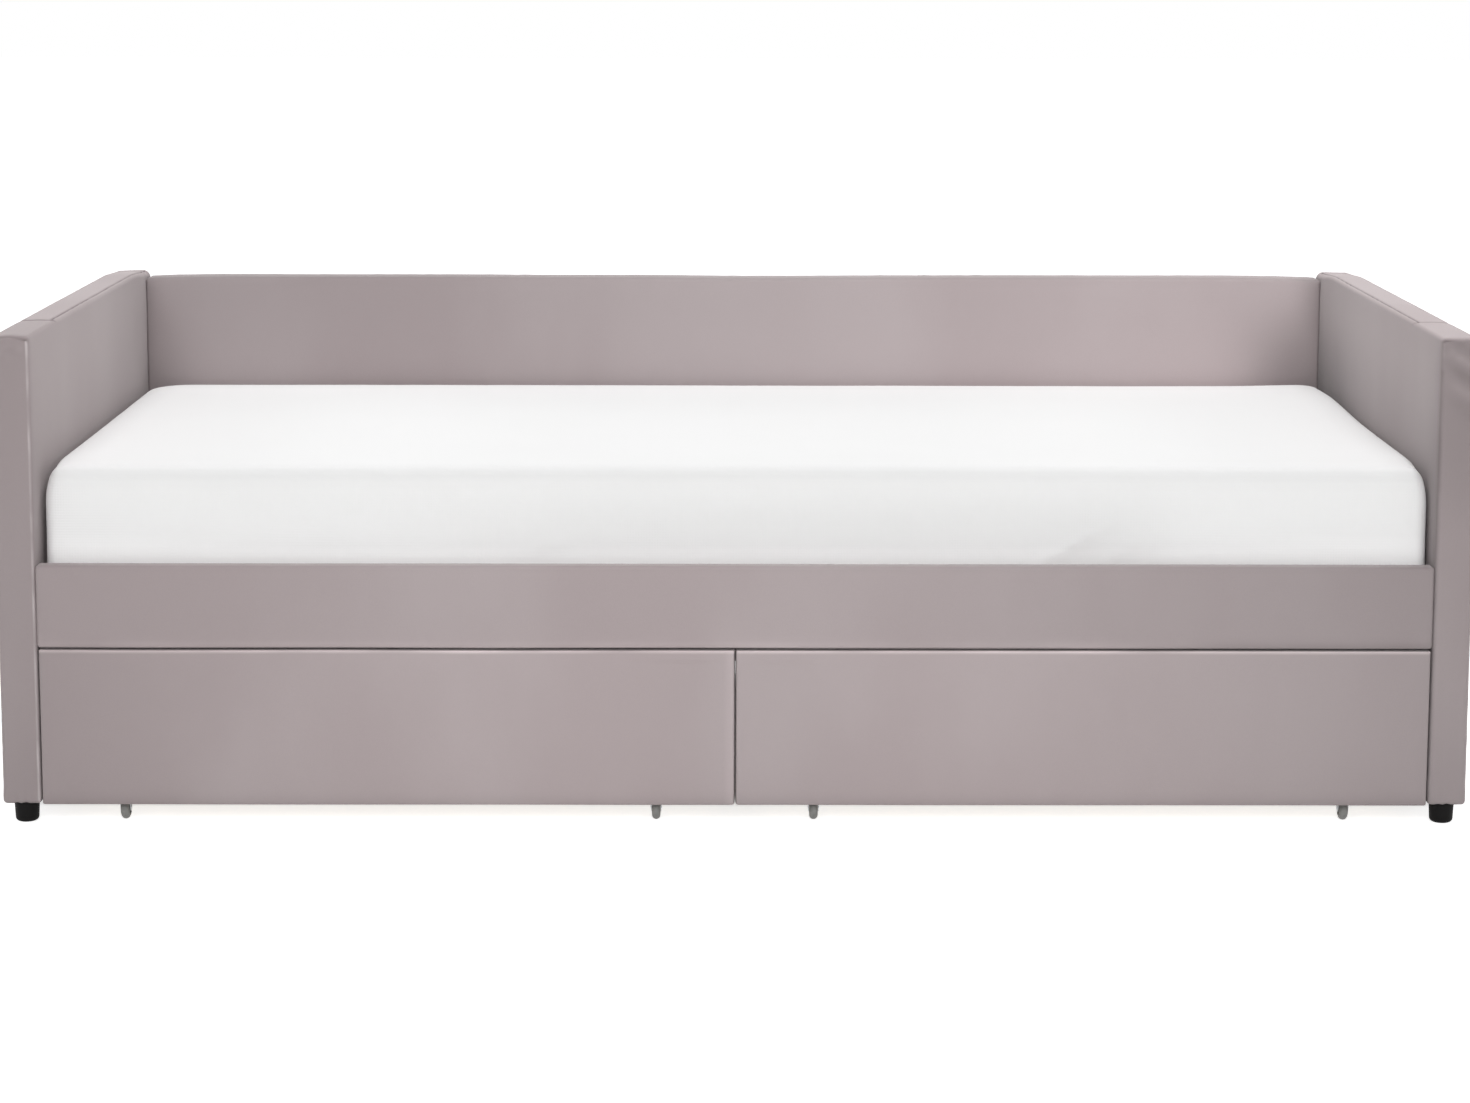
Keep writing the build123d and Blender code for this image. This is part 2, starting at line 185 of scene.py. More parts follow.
class Finish:
    """A material in the making: its one shader, and short ways to add the nodes that feed it."""

    def __init__(self, name, **shader_values):
        self.material = bpy.data.materials.new(name)
        self.material.use_nodes = True
        self.tree = self.material.node_tree
        self.shader = self.tree.nodes["Principled BSDF"]
        for key, value in shader_values.items():
            self.shader.inputs[key.replace("_", " ")].default_value = value
        self.place = add_node(self.tree, "TexCoord").outputs["Object"]

    def join(self, output, socket):
        """Join an output to one of the shader's own sockets."""
        self.tree.links.new(output, self.shader.inputs[socket])

    def node(self, kind, output=0, inputs=None, **settings):
        """Add a node and give one of its outputs."""
        return add_node(self.tree, kind, settings, inputs).outputs[output]

    def press(self, height, strength, distance):
        """Press a height into the shader's surface."""
        inputs = {"Strength": strength, "Distance": distance, "Height": height}
        self.join(self.node("Bump", "Normal", inputs), "Normal")

    def attribute(self, name):
        """Read a number that the mesh carries at each of its points."""
        return self.node("Attribute", "Fac", attribute_name=name)

    def stretch(self, scale):
        """Give the object's coordinates, scaled for each axis."""
        return self.node("Mapping", 0, {"Scale": scale, "Vector": self.place})

    def along(self, axis, scale):
        """Give the object's coordinates, drawn out along the grain."""
        return self.stretch([scale if number == axis else 1.0 for number in range(3)])

    def noise(self, scale, detail=2.0, roughness=0.5, place=None):
        """Give a noise between 0 and 1."""
        inputs = {"Scale": scale, "Detail": detail, "Roughness": roughness, "Vector": place or self.place}
        return self.node("TexNoise", "Fac", inputs)

    def wave(self, direction, **inputs):
        """Give waves between 0 and 1 that run along a direction."""
        values = {key.replace("_", " "): value for key, value in inputs.items()}
        return self.node("TexWave", "Fac", {**values, "Vector": self.place}, bands_direction=direction)

    def spread(self, value, low, high, start=0.0, end=1.0, curve="LINEAR"):
        """Spread a value that runs from start to end over the range from low to high."""
        inputs = {"Value": value, "From Min": start, "From Max": end, "To Min": low, "To Max": high}
        return self.node("MapRange", "Result", inputs, interpolation_type=curve)

    def mix(self, share, *colours):
        """Mix two colours by a share of the second."""
        both = [c if isinstance(c, bpy.types.NodeSocket) else (*c, 1.0) for c in colours]
        return self.node("Mix", 2, {0: share, 6: both[0], 7: both[1]}, data_type="RGBA")

    def scale(self, colour, factor):
        """Make a colour lighter or darker by a factor."""
        return self.node("VectorMath", 0, {0: colour, "Scale": factor}, operation="SCALE")

    def vector(self, operation, *values, output=0):
        """Work out a vector, or a number, from vectors."""
        return self.node("VectorMath", output, dict(enumerate(values)), operation=operation)

    def number(self, operation, *values):
        """Work out one number from others."""
        return self.node("Math", 0, dict(enumerate(values)), operation=operation)

    def split(self, vector):
        """Give a vector's three parts."""
        return add_node(self.tree, "SeparateXYZ", inputs={0: vector}).outputs


def velvet_material(settings):
    """Polyester velvet, woven and sheared: broad patches where the pile lies over, and a pale sheen."""
    look = Finish(
        "Polyester velvet, woven and sheared",
        Roughness=0.88,
        Specular_IOR_Level=0.22,
        IOR=1.45,
        Sheen_Weight=0.35,
        Sheen_Roughness=0.42,
        Sheen_Tint=(*linear("#F1EBEB"), 1.0),
    )

    # Brushed patches are 200 to 400 mm across, and taller than they are wide
    patches = look.noise(1.0, 3.0, 0.45, look.stretch((3.4, 3.4, 1.5)))
    brushed = look.spread(patches, 0.0, 1.0, 0.32, 0.68, "SMOOTHSTEP")
    pile = look.mix(brushed, settings.shade, settings.pile)

    # Tufts stand 0.3 mm apart; drawn at 1.3 mm, as coarse as they need to show
    tufts = look.noise(760.0, 2.0, 0.6)
    # The mesh's level of painted light and shade scales the pile, painted shade darkens the seams and
    # painted highlights pale some seam edges
    tone = look.number("MULTIPLY", look.attribute("painted_light"), look.spread(tufts, 0.955, 1.045))
    seamed = look.mix(look.attribute("seam"), look.scale(pile, tone), settings.seam)
    look.join(look.mix(look.attribute("painted_highlight_share"), seamed, settings.painted_highlight), "Base Color")
    look.press(tufts, 0.35, 0.0004)
    return look.material


def knit_material(settings):
    """Polyester jersey, knitted: matt white, with fine ribs that keep it from looking like plaster."""
    look = Finish(
        "Polyester jersey, knitted",
        Roughness=0.92,
        Specular_IOR_Level=0.2,
        IOR=1.5,
        Sheen_Weight=0.12,
        Sheen_Roughness=0.5,
    )

    # Stitches are 0.8 mm wide; drawn at 2 mm, as coarse as they need to show
    waves = [look.wave(axis, Scale=80.0, Distortion=0.6, Detail=1.0, Detail_Scale=1.5) for axis in "XYZ"]
    stitches = look.number("ADD", look.number("MULTIPLY", waves[0], waves[1]), waves[2])
    cloth = look.mix(look.noise(4.0), [v * 0.975 for v in settings.cloth], settings.cloth)
    # The mesh's tone carries painted light and shade on the cloth
    look.join(look.scale(cloth, look.attribute("tone")), "Base Color")
    look.press(stitches, 0.25, 0.0003)
    return look.material


def pine_material(name, settings, grain_axis):
    """Pine, planed: long darker growth lines along the grain, and a dull open surface."""
    look = Finish(name, Roughness=0.62, IOR=1.5)

    # Growth lines are 3 to 6 mm apart across the grain and run on for half a metre along it
    along = look.along(grain_axis, 0.035)
    rings = look.noise(95.0, 4.0, 0.55, along)
    late_wood = look.spread(rings, 0.0, 1.0, 0.46, 0.7, "SMOOTHSTEP")
    wood = look.mix(late_wood, settings.pine, settings.pine_ring)
    tone = look.spread(look.noise(7.0, 1.0, place=along), 0.86, 1.08)
    look.join(look.scale(wood, tone), "Base Color")
    look.press(rings, 0.3, 0.0003)
    return look.material


def plywood_material(name, settings, thickness_axis, grain_axis):
    """Birch plywood, sanded and lacquered: a fine pale face, and striped plies on every cut edge."""
    look = Finish(name, Roughness=0.42, IOR=1.5, Coat_Weight=0.18, Coat_Roughness=0.35)

    # Nine plies of 1.3 mm lie through a 12 mm board; a face shows one ply, so the bands show on edges only
    depth = look.number("MULTIPLY", look.split(look.place)[thickness_axis], 1 / 0.0026)
    cross_ply = look.number("GREATER_THAN", look.number("FRACT", depth), 0.5)
    normal = look.node("NewGeometry", "True Normal")
    across = look.number("ABSOLUTE", look.split(normal)[thickness_axis])
    striped = look.number("MULTIPLY", cross_ply, look.number("LESS_THAN", across, 0.3))
    figure = look.noise(60.0, 5.0, 0.6, look.along(grain_axis, 0.05))
    wood = look.mix(striped, settings.birch, settings.birch_ply)
    look.join(look.scale(wood, look.spread(figure, 0.84, 1.1)), "Base Color")
    look.press(figure, 0.2, 0.0002)
    return look.material


def hardboard_material(settings):
    """Hardboard, wet pressed: dark brown and felted, with short pale fibres."""
    look = Finish("Hardboard, wet pressed", Roughness=0.7, IOR=1.5)
    fibres = look.noise(420.0, 6.0)
    look.join(look.scale(settings.fibre, look.spread(fibres, 0.7, 1.3)), "Base Color")
    look.press(fibres, 0.3, 0.0003)
    return look.material


def tape_material():
    """Cotton tape, woven: off-white, with slanting twill lines that show the weave."""
    look = Finish("Cotton tape, woven", Roughness=0.9, IOR=1.5)

    # Twill lines are 1 mm apart; drawn at 2.5 mm, as coarse as they need to show
    twill = look.wave("DIAGONAL", Scale=70.0, Distortion=0.4)
    look.join(look.mix(twill, linear("#CFC9BC"), linear("#EEEAE0")), "Base Color")
    look.press(twill, 0.5, 0.0004)
    return look.material


def zinc_material(settings):
    """Mild steel, pressed and zinc plated: bright grey metal with a faint cloudy tone."""
    look = Finish("Mild steel, pressed and zinc plated", Metallic=1.0, Roughness=0.34)
    clouds = look.noise(130.0, 4.0)
    look.join(look.scale(settings.steel, look.spread(clouds, 0.86, 1.06)), "Base Color")
    look.join(look.spread(clouds, 0.26, 0.44), "Roughness")
    return look.material


def moulded_material(name, colour, roughness, gloss, grain_size, grain_depth):
    """Moulded plastic: one colour through and through, under the fine spark grain of its mould."""
    look = Finish(name, Roughness=roughness, Specular_IOR_Level=gloss, IOR=1.5)
    grain = look.noise(1 / grain_size)
    look.join(look.scale(colour, look.spread(grain, 0.88, 1.12)), "Base Color")
    look.press(grain, 0.4, grain_depth)
    return look.material


def dust_cloth_material():
    """Polypropylene felt, spunbonded: thin black cloth pressed with rows of small dots."""
    look = Finish("Polypropylene felt, spunbonded", Roughness=0.8, IOR=1.49)

    # Bond points are 1 mm apart; drawn at 2.5 mm, as coarse as they need to show
    inputs = {"Scale": 400.0, "Randomness": 0.15, "Vector": look.place}
    dots = look.node("TexVoronoi", "Distance", inputs, feature="F1")
    look.join(look.mix(dots, linear("#101011"), linear("#2B2B2D")), "Base Color")
    look.press(dots, 0.5, 0.0003)
    return look.material


def floor_material(settings):
    """Studio floor, painted matt: a glow for the camera makes it white where it is lit, and stops in a box
    under and just behind the bed, whose grey is partly the bed's shadow and partly painted shadow.
    """
    look = Finish("Studio floor, painted matt", Roughness=1.0, Specular_IOR_Level=0.0)
    look.join(look.scale(settings.floor, look.spread(look.noise(1.5), 0.99, 1.0)), "Base Color")
    path = add_node(look.tree, "LightPath").outputs
    seen = look.number("MAXIMUM", path["Is Camera Ray"], path["Is Glossy Ray"])

    # The glow stops in a box under and just behind the bed, so that no light shows through its gaps; the
    # box's edge is a painted shadow
    off_centre = look.vector("SUBTRACT", look.place, (0.0, 0.13, 0.0))
    spot = look.vector("MULTIPLY", off_centre, (0.97, 2.0, 0.0))
    across, back, _ = look.split(look.vector("ABSOLUTE", spot))
    outside = look.spread(look.number("MAXIMUM", across, back), 0.0, 0.78, 0.89, 1.06, "SMOOTHSTEP")
    distance = look.vector("LENGTH", look.place, output="Value")
    total = look.number("ADD", outside, look.spread(distance, 0.0, 0.3, 1.6, 6.0))
    lift = look.number("MULTIPLY", seen, total)
    glow = look.node("Emission", 0, {"Color": WHITE, "Strength": lift})
    both = look.node("AddShader", 0, {0: look.shader.outputs[0], 1: glow})
    look.tree.links.new(both, look.tree.nodes["Material Output"].inputs["Surface"])
    return look.material


def make_materials(scene):
    """Make every finish of the bed once, by the record's slot or by the grain's direction."""
    timber = scene.daybed_timber
    fittings = scene.daybed_fittings
    lacquered = "Birch plywood, sanded and lacquered"
    nylon = (fittings.wheel, 0.46, 0.4, 0.0016, 0.00006)
    polypropylene = (fittings.foot, 0.62, 0.12, 0.0012, 0.00012)
    return {
        "velvet": velvet_material(scene.daybed_velvet),
        "mattress_cloth": knit_material(scene.daybed_mattress),
        "pine_x": pine_material("Pine, planed, long way across", timber, 0),
        "pine_y": pine_material("Pine, planed, long way back", timber, 1),
        "pine_z": pine_material("Pine, planed, upright", timber, 2),
        "plywood_bottom": plywood_material(f"{lacquered}, lying flat", timber, 2, 0),
        "plywood_side": plywood_material(f"{lacquered}, side", timber, 0, 1),
        "plywood_cross": plywood_material(f"{lacquered}, across", timber, 1, 0),
        "hardboard": hardboard_material(timber),
        "webbing": tape_material(),
        "zinc_steel": zinc_material(fittings),
        "wheel_plastic": moulded_material("Nylon, injection moulded", *nylon),
        "foot_plastic": moulded_material("Polypropylene, injection moulded, black", *polypropylene),
        "dust_cloth": dust_cloth_material(),
    }


def finish_of(name):
    """Give the material that was made for a finish, making all of them the first time."""
    scene = bpy.context.scene
    if "daybed_finishes" not in scene:
        made = make_materials(scene)
        scene["daybed_finishes"] = {key: material.name for key, material in made.items()}
    return bpy.data.materials[scene["daybed_finishes"][name]]


# Mesh work

# Distance of a slab's top seam from its face
SEAM_INSET = 0.0085
# Thickness of velvet and foam, on a slab and on a drawer front
SLAB_WALL, FRONT_WALL = 0.0075, 0.0036
# How far in from an edge the foam has swelled by two thirds
SWELL_REACH = 0.028
# How far from its line a seam still moves the cover
SEAM_REACH = 0.03
# A plain cut is left out this close to a fine one, and any cut this close to the one before
CLEAR_OF_FINE, LEAST_GAP = 0.0012, 0.0005


def piece_from(bm, name, finish, body="frame", smooth=True):
    """Turn a finished bmesh into a piece of the bed, riding on one of its bodies."""
    mesh = bpy.data.meshes.new(name)
    bm.to_mesh(mesh)
    bm.free()
    mesh.materials.append(finish_of(finish))
    if smooth:
        mesh.shade_smooth()
    piece = bpy.data.objects.new(name, mesh)
    bpy.context.scene.collection.objects.link(piece)
    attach(piece, body)
    return piece


def block(low, high):
    """Start a plain block between two corners."""
    bm = bmesh.new()
    bmesh.ops.create_cube(bm, size=1.0)
    bmesh.ops.scale(bm, vec=high - low, verts=bm.verts)
    bmesh.ops.translate(bm, vec=(low + high) / 2, verts=bm.verts)
    return bm


def round_edges(bm, edges, radius, segments):
    """Round some edges of a bmesh alike."""
    bmesh.ops.bevel(
        bm,
        geom=edges,
        offset=radius,
        offset_type="OFFSET",
        segments=segments,
        profile=0.5,
        affect="EDGES",
        material=-1,
    )


def cut_places(low, high, step, fine=()):
    """Give places between two ends about a step apart, and closer ones round each (centre, reach, step)."""
    count = max(1, round((high - low) / step))
    places = [low + (high - low) * n / count for n in range(1, count)]
    wanted = []
    for centre, reach, gap in fine:
        half = round(reach / gap)
        wanted += [centre + gap * n for n in range(-half, half + 1)]
    places = [p for p in places if all(abs(p - w) > CLEAR_OF_FINE for w in wanted)] + wanted
    kept = []
    for place in sorted(p for p in places if low < p < high):
        if not kept or place - kept[-1] > LEAST_GAP:
            kept.append(place)
    return kept


def cut_through(bm, axis, places):
    """Cut a bmesh right through at each place along an axis."""
    across = Vector((0, 0, 0))
    across[axis] = 1
    for place in places:
        everything = bm.verts[:] + bm.edges[:] + bm.faces[:]
        bmesh.ops.bisect_plane(bm, geom=everything, dist=0.00001, plane_co=across * place, plane_no=across)


def rounded_block(low, high, radius, steps, fine=((), (), ()), opened=None):
    """Start a rounded block, take off its face at (axis, place), and cut it into cells along each axis."""
    bm = block(low, high)
    round_edges(bm, bm.edges[:], radius, 4)
    if opened:
        remove_face(bm, *opened)
    for axis in range(3):
        places = cut_places(low[axis] + radius, high[axis] - radius, steps[axis], fine[axis])
        cut_through(bm, axis, places)
    return bm


def remove_face(bm, axis, place):
    """Take off the flat face that lies at a place across an axis."""
    doomed = [
        face
        for face in bm.faces
        if abs(face.normal[axis]) > 0.999 and abs(face.calc_center_median()[axis] - place) < 0.0002
    ]
    bmesh.ops.delete(bm, geom=doomed, context="FACES")


def thicken(piece, name, thickness, offset=-1.0):
    """Give a thin skin its thickness, inwards unless told otherwise."""
    wall = piece.modifiers.new(name, "SOLIDIFY")
    wall.thickness = thickness
    wall.offset = offset


def join_into(bm, other):
    """Add a copy of one bmesh to another, and free it."""
    mesh = bpy.data.meshes.new("joining")
    other.to_mesh(mesh)
    other.free()
    bm.from_mesh(mesh)
    bpy.data.meshes.remove(mesh)


def ease(value):
    """Rise smoothly from 0 to 1 as a value goes from 0 to 1."""
    value = max(0.0, min(1.0, value))
    return value * value * (3 - 2 * value)


def hump(distance, width):
    """Give a round hump, 1 in the middle and fading within about its width."""
    return math.exp(-((distance / width) ** 2))


def drift(x, y, z=0.0):
    """Give a slow noise between about -1 and 1 at a place."""
    return noise.noise(Vector((x, y, z)))


def spaced(low, high, count):
    """Give a number of places between two ends, evenly spaced and half a step in from both."""
    return [low + (high - low) * (number + 0.5) / count for number in range(count)]


def inset_of(place, low, high, axes):
    """Give how far in a place lies from the nearest edge along some axes."""
    return min(min(place[n] - low[n], high[n] - place[n]) for n in axes)


class Seam:
    """A sewn line over a cover: it draws the velvet in, or stands proud where a fold was closed; it carries
    painted shade and highlights.
    """

    def __init__(self, points, depth, width=0.0016, dark=0.0, light=0.0, seed=0.0):
        self.runs = [(Vector(a), Vector(b)) for a, b in zip(points, points[1:])]
        self.depth = depth
        self.width = width
        self.dark = dark
        self.light = light
        self.seed = seed

    def at(self, place):
        """Give how far a point moves out, how much painted shade it takes and how much painted highlight.
        """
        nearest, along, start = 1.0, 0.0, 0.0
        for first, last in self.runs:
            length = (last - first).length
            share = max(0.0, min(1.0, geometry.intersect_point_line(place, first, last)[1]))
            distance = (place - first.lerp(last, share)).length
            if distance < nearest:
                nearest, along = distance, start + share * length
            start += length
        if nearest > SEAM_REACH:
            return 0.0, 0.0, 0.0

        # A seam's strength wanders along it, and the cloth beside it puckers
        wander = drift(along * 30, self.seed, 0.5)
        here = hump(nearest, self.width)
        pucker = drift(along * 55, self.seed, 3.0) * 0.0006 * hump(nearest, 0.009)
        return (
            -self.depth * here * (1 + 0.35 * wander) + pucker,
            max(0.0, self.dark * here * (1 + 0.5 * wander)),
            max(0.0, self.light * here * (1 + 1.2 * wander)),
        )


def front_painted_shade(x, fullness=1.6):
    """Give the painted light on the bed's front: full in the middle, with painted shade growing towards the
    ends.
    """
    return 1.0 - 0.19 * min(1.0, abs(x)) ** fullness


def upholster(bm, low, high, puff, seams, shape, painted_light, seed, waviness=0.0006):
    """Swell a cover's faces over their foam, draw in its seams, leave it uneven and store its painted light
    and shade.
    """
    layers = [bm.verts.layers.float.new(name) for name in ("seam", "painted_highlight_share", "painted_light")]
    bm.normal_update()
    moves = []
    for vertex in bm.verts:
        place, normal = vertex.co.copy(), vertex.normal.copy()
        facing_axis = max(range(3), key=lambda axis: abs(normal[axis]))
        to_edge = inset_of(place, low, high, [n for n in range(3) if n != facing_axis])
        inner = 1 - math.exp(-max(0.0, to_edge) / SWELL_REACH)

        # Swells about 200 mm across, and small ones of about 60 mm that fade towards the edges
        broad = noise.noise(place * 5.5 + Vector((seed, 0, 0)))
        small = noise.noise(place * 17 + Vector((0, seed, 0)))
        out = puff * inner + waviness * (broad * (0.45 + inner) + small * 0.45 * inner)
        dark, pale = 0.0, 0.0
        for seam in seams:
            seam_out, seam_dark, seam_pale = seam.at(place)
            out += seam_out
            dark = max(dark, seam_dark)
            pale = max(pale, seam_pale)
        levels = (min(1.0, dark), min(1.0, pale), painted_light(place, normal))
        moves.append((vertex, normal * out + shape(place, normal), levels))
    for vertex, shift, levels in moves:
        vertex.co += shift
        for layer, level in zip(layers, levels):
            vertex[layer] = level


# Pieces


class DAYBED_OT_arms(bpy.types.Operator):
    """Upholster the two arms in velvet, open underneath"""

    bl_idname = "daybed.arms"
    bl_label = "Arm covers"

    # Slanting folds near the top of the right arm's front, each by its height, width and strength
    FRONT_FOLDS = (
        (0.705, 0.008, 1),
        (0.683, 0.009, -1),
        (0.6595, 0.008, 0.8),
        (0.635, 0.012, -0.5),
        (0.724, 0.007, -0.6),
    )
    # Distance from one gather to the next over a foot, and between the ripples at the rear of the top
    GATHER_PITCH, RIPPLE_PITCH = 0.0135, 0.03

    def seams(self, settings, side, low, high):
        """Lay out an arm's seams: upright ones at its corners, one along its top and one across it, and
        painted shade lines by the back and down the right arm's front.
        """
        inner, outer = (low.x, high.x) if side > 0 else (high.x, low.x)
        left = side < 0
        front, rear, foot, top = low.y, high.y, low.z, high.z
        depth = settings.seam_depth
        band = front + settings.arm_band
        seam_x = inner + side * SEAM_INSET
        edge = inner + side * 0.0022
        back_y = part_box("back_cover")[0].y
        over_front = [
            (inner, front, top - (0.0095 if left else 0.0050)),
            (inner + side * 0.005, front + 0.0006, top - (0.0052 if left else 0.0036)),
            ((inner + outer) / 2, front + 0.0035, top - (0.0006 if left else 0.0030)),
            (outer, front + 0.001, top - 0.0038),
        ]
        inner_edge = [(edge, front, foot), (edge, front, top - 0.008)]
        outer_edge = [(outer, front, foot), (outer, front, top if left else 0.35)]
        along_top = [(seam_x, band, top), (seam_x, rear - 0.012, top)]
        across_top = [(seam_x - side * 0.003, band, top), (outer, band - 0.004, top)]
        outer_top = [(outer, front + 0.004, top - 0.007), (outer, rear - 0.004, top - 0.007)]
        by_back = [(inner, back_y, 0.50), (inner, back_y, top)]

        # Each by its points, depth, width, painted shade, painted highlight and seed
        table = (
            (over_front, depth * 0.9, 0.0016, 0.75, 0.0, 1),
            (inner_edge, -0.0006, 0.0014, 0.0, 0.85 if left else 0.12, 2),
            (outer_edge, -0.0006, 0.0018, 0.0, 0.2 if left else 0.6, 3),
            (along_top, depth, 0.0014, 1.0, 0.0, 4),
            (across_top, depth * 1.6, 0.0042, 0.95 if left else 0.35, 0.0, 5),
            (outer_top, depth, 0.0016, 0.6, 0.0, 6),
            ([(inner, rear, foot), (inner, rear, top)], depth * 0.8, 0.0016, 0.5, 0.0, 7),
            ([(outer, rear, foot), (outer, rear, top)], depth * 0.8, 0.0016, 0.5, 0.0, 8),
            (by_back, 0.0, 0.0028, 0.55, 0.0, 9),
        )
        seams = [Seam(*row[:5], seed=row[5] + side) for row in table]
        shadow = [(inner, front, 0.50), (inner, front, 0.67)]
        seams.append(Seam(shadow, 0.0, 0.003, dark=0.0 if left else 0.4, seed=9.0))
        return seams

    def front_folds(self, place, inner):
        """Give the slanting folds near the top of the right arm's front: 1 on a ridge, -1 in a hollow."""
        slope = place.z + 0.55 * (place.x - inner)
        return sum(strength * hump(slope - height, width) for height, width, strength in self.FRONT_FOLDS)

    def painted_light(self, side, low, high):
        """Give the painted light on an arm: brighter on top, painted shade in front and inside, and more
        painted shade at the back.

        The level multiplies the velvet's own colour.
        """
        inner = low.x if side > 0 else high.x
        band = low.y + bpy.context.scene.daybed_velvet.arm_band

        def level(place, normal):
            flat = max(0.0, normal.z) ** 2
            inward = max(0.0, -normal.x * side) * (1 - flat)
            behind = ease((place.y - band) / 0.012)
            top = 0.81 + 0.14 * behind if side < 0 else 1.07 + 0.02 * behind

            # Painted shade inside, more at the back and low down, and on the right also just behind the
            # front.
            # Painted shade on the front low down, and on the right also high up.
            rear = ease((place.y + 0.05) / 0.45)
            low_down = ease((0.68 - place.z) / 0.16)
            front = 0.775 - 0.035 * ease((0.20 - place.z) / 0.14)
            if side < 0:
                painted_shade = 0.02 + 0.10 * rear + 0.07 * low_down
            else:
                painted_shade = 0.07 + 0.12 * math.exp(-(place.y - low.y) / 0.05) + rear * (0.10 + 0.25 * low_down)
                painted_shade += 0.17 * low_down
                front -= 0.10 * ease((place.z - 0.42) / 0.14)

            # The faces that the photo doesn't show keep the velvet's own colour
            if normal.y > 0.5 or normal.x * side > 0.5:
                front = 1.0
            value = front * (1 - flat - inward) + top * flat + (0.785 - painted_shade) * inward

            # Painted light and shade in the creases under the top's seam, and painted highlights and shade
            # on the right arm's slanting folds
            if normal.y < -0.5:
                under_top = hump(high.z - 0.02 - place.z, 0.014)
                value += 0.07 * under_top * drift(place.x * 70, place.z * 90, side)
                if side > 0:
                    value += 0.10 * self.front_folds(place, inner) * ease((place.x - inner) / 0.03)
            return value

        return level

    def creases(self, side, low, high):
        """Give the move of an arm's looser places: over its foot, at its crown and down its front."""
        inner = low.x if side > 0 else high.x
        foot_low, foot_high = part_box("feet")
        foot_x = side * (abs(foot_high.x) + abs(foot_low.x)) / 2 - side * DAYBED_OT_feet.TOP_RADIUS

        def move(place, normal):
            shift = Vector((0, 0, 0))
            above = place.z - low.z

            # Gathers over the feet, in the hem and in the face above it, and a hem that stands out a little
            if above < 0.05:
                by_ends = hump(place.y - low.y, 0.03) + hump(place.y - high.y, 0.03)
                over_foot = hump(place.x - foot_x, 0.017) * by_ends
                gather = math.sin((place.x - foot_x) * 2 * math.pi / self.GATHER_PITCH + side)
                shift.z += 0.0021 * over_foot * math.exp(-above / 0.006) * (0.5 + 0.8 * gather)
                shift += normal * 0.0009 * over_foot * gather * math.exp(-above / 0.014)
                shift += normal * 0.0012 * hump(above - 0.012, 0.012) * abs(normal.y)

            # Slanting folds on the right arm's front, and ripples over both arms' rear ends
            across = (place.x - inner) * side / (high.x - low.x)
            if side > 0 and normal.y < -0.5:
                shift += normal * 0.0014 * self.front_folds(place, inner) * ease(across * 1.6)
            if normal.z > 0.5 and place.y > high.y - 0.09:
                slanted = place.y + 0.35 * (place.x - inner)
                ripple = math.sin(slanted * 2 * math.pi / self.RIPPLE_PITCH)
                shift += normal * 0.0006 * ripple * ease((place.y - high.y + 0.09) / 0.05)

            # The top sinks towards its rear end, most at its inner edge
            rearward = ease((place.y - high.y + 0.16) / 0.16)
            if place.z > high.z - 0.05 and rearward > 0:
                sunk = rearward * ease((place.z - high.z + 0.05) / 0.04)
                shift.z -= sunk * (0.0062 + 0.005 * hump(across * (high.x - low.x), 0.0052))
            return shift

        return move

    def execute(self, context):
        settings = context.scene.daybed_velvet
        for hand, side in SIDES.items():
            node = f"{hand}_arm_cover"
            low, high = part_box(node)
            inner = low.x if side > 0 else high.x
            band = low.y + settings.arm_band
            fine = (
                [(inner + side * SEAM_INSET, 0.0024, 0.0012)],
                [(band - 0.001, 0.0096, 0.0016), (high.y - 0.05, 0.04, 0.004)],
                [(high.z - 0.012, 0.006, 0.0015), (0.67, 0.045, 0.003), (low.z + 0.016, 0.010, 0.0025)],
            )
            steps = (0.003, settings.cell, settings.cell)
            bm = rounded_block(low, high, settings.edge_radius, steps, fine, (2, low.z))
            seams = self.seams(settings, side, low, high)
            creases = self.creases(side, low, high)
            painted_light = self.painted_light(side, low, high)
            upholster(bm, low, high, settings.puff, seams, creases, painted_light, seed=10.0 * side)
            piece = piece_from(bm, f"{hand}_arm_velvet", "velvet")
            thicken(piece, "Velvet and foam", SLAB_WALL)
            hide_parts(node)
        return {"FINISHED"}


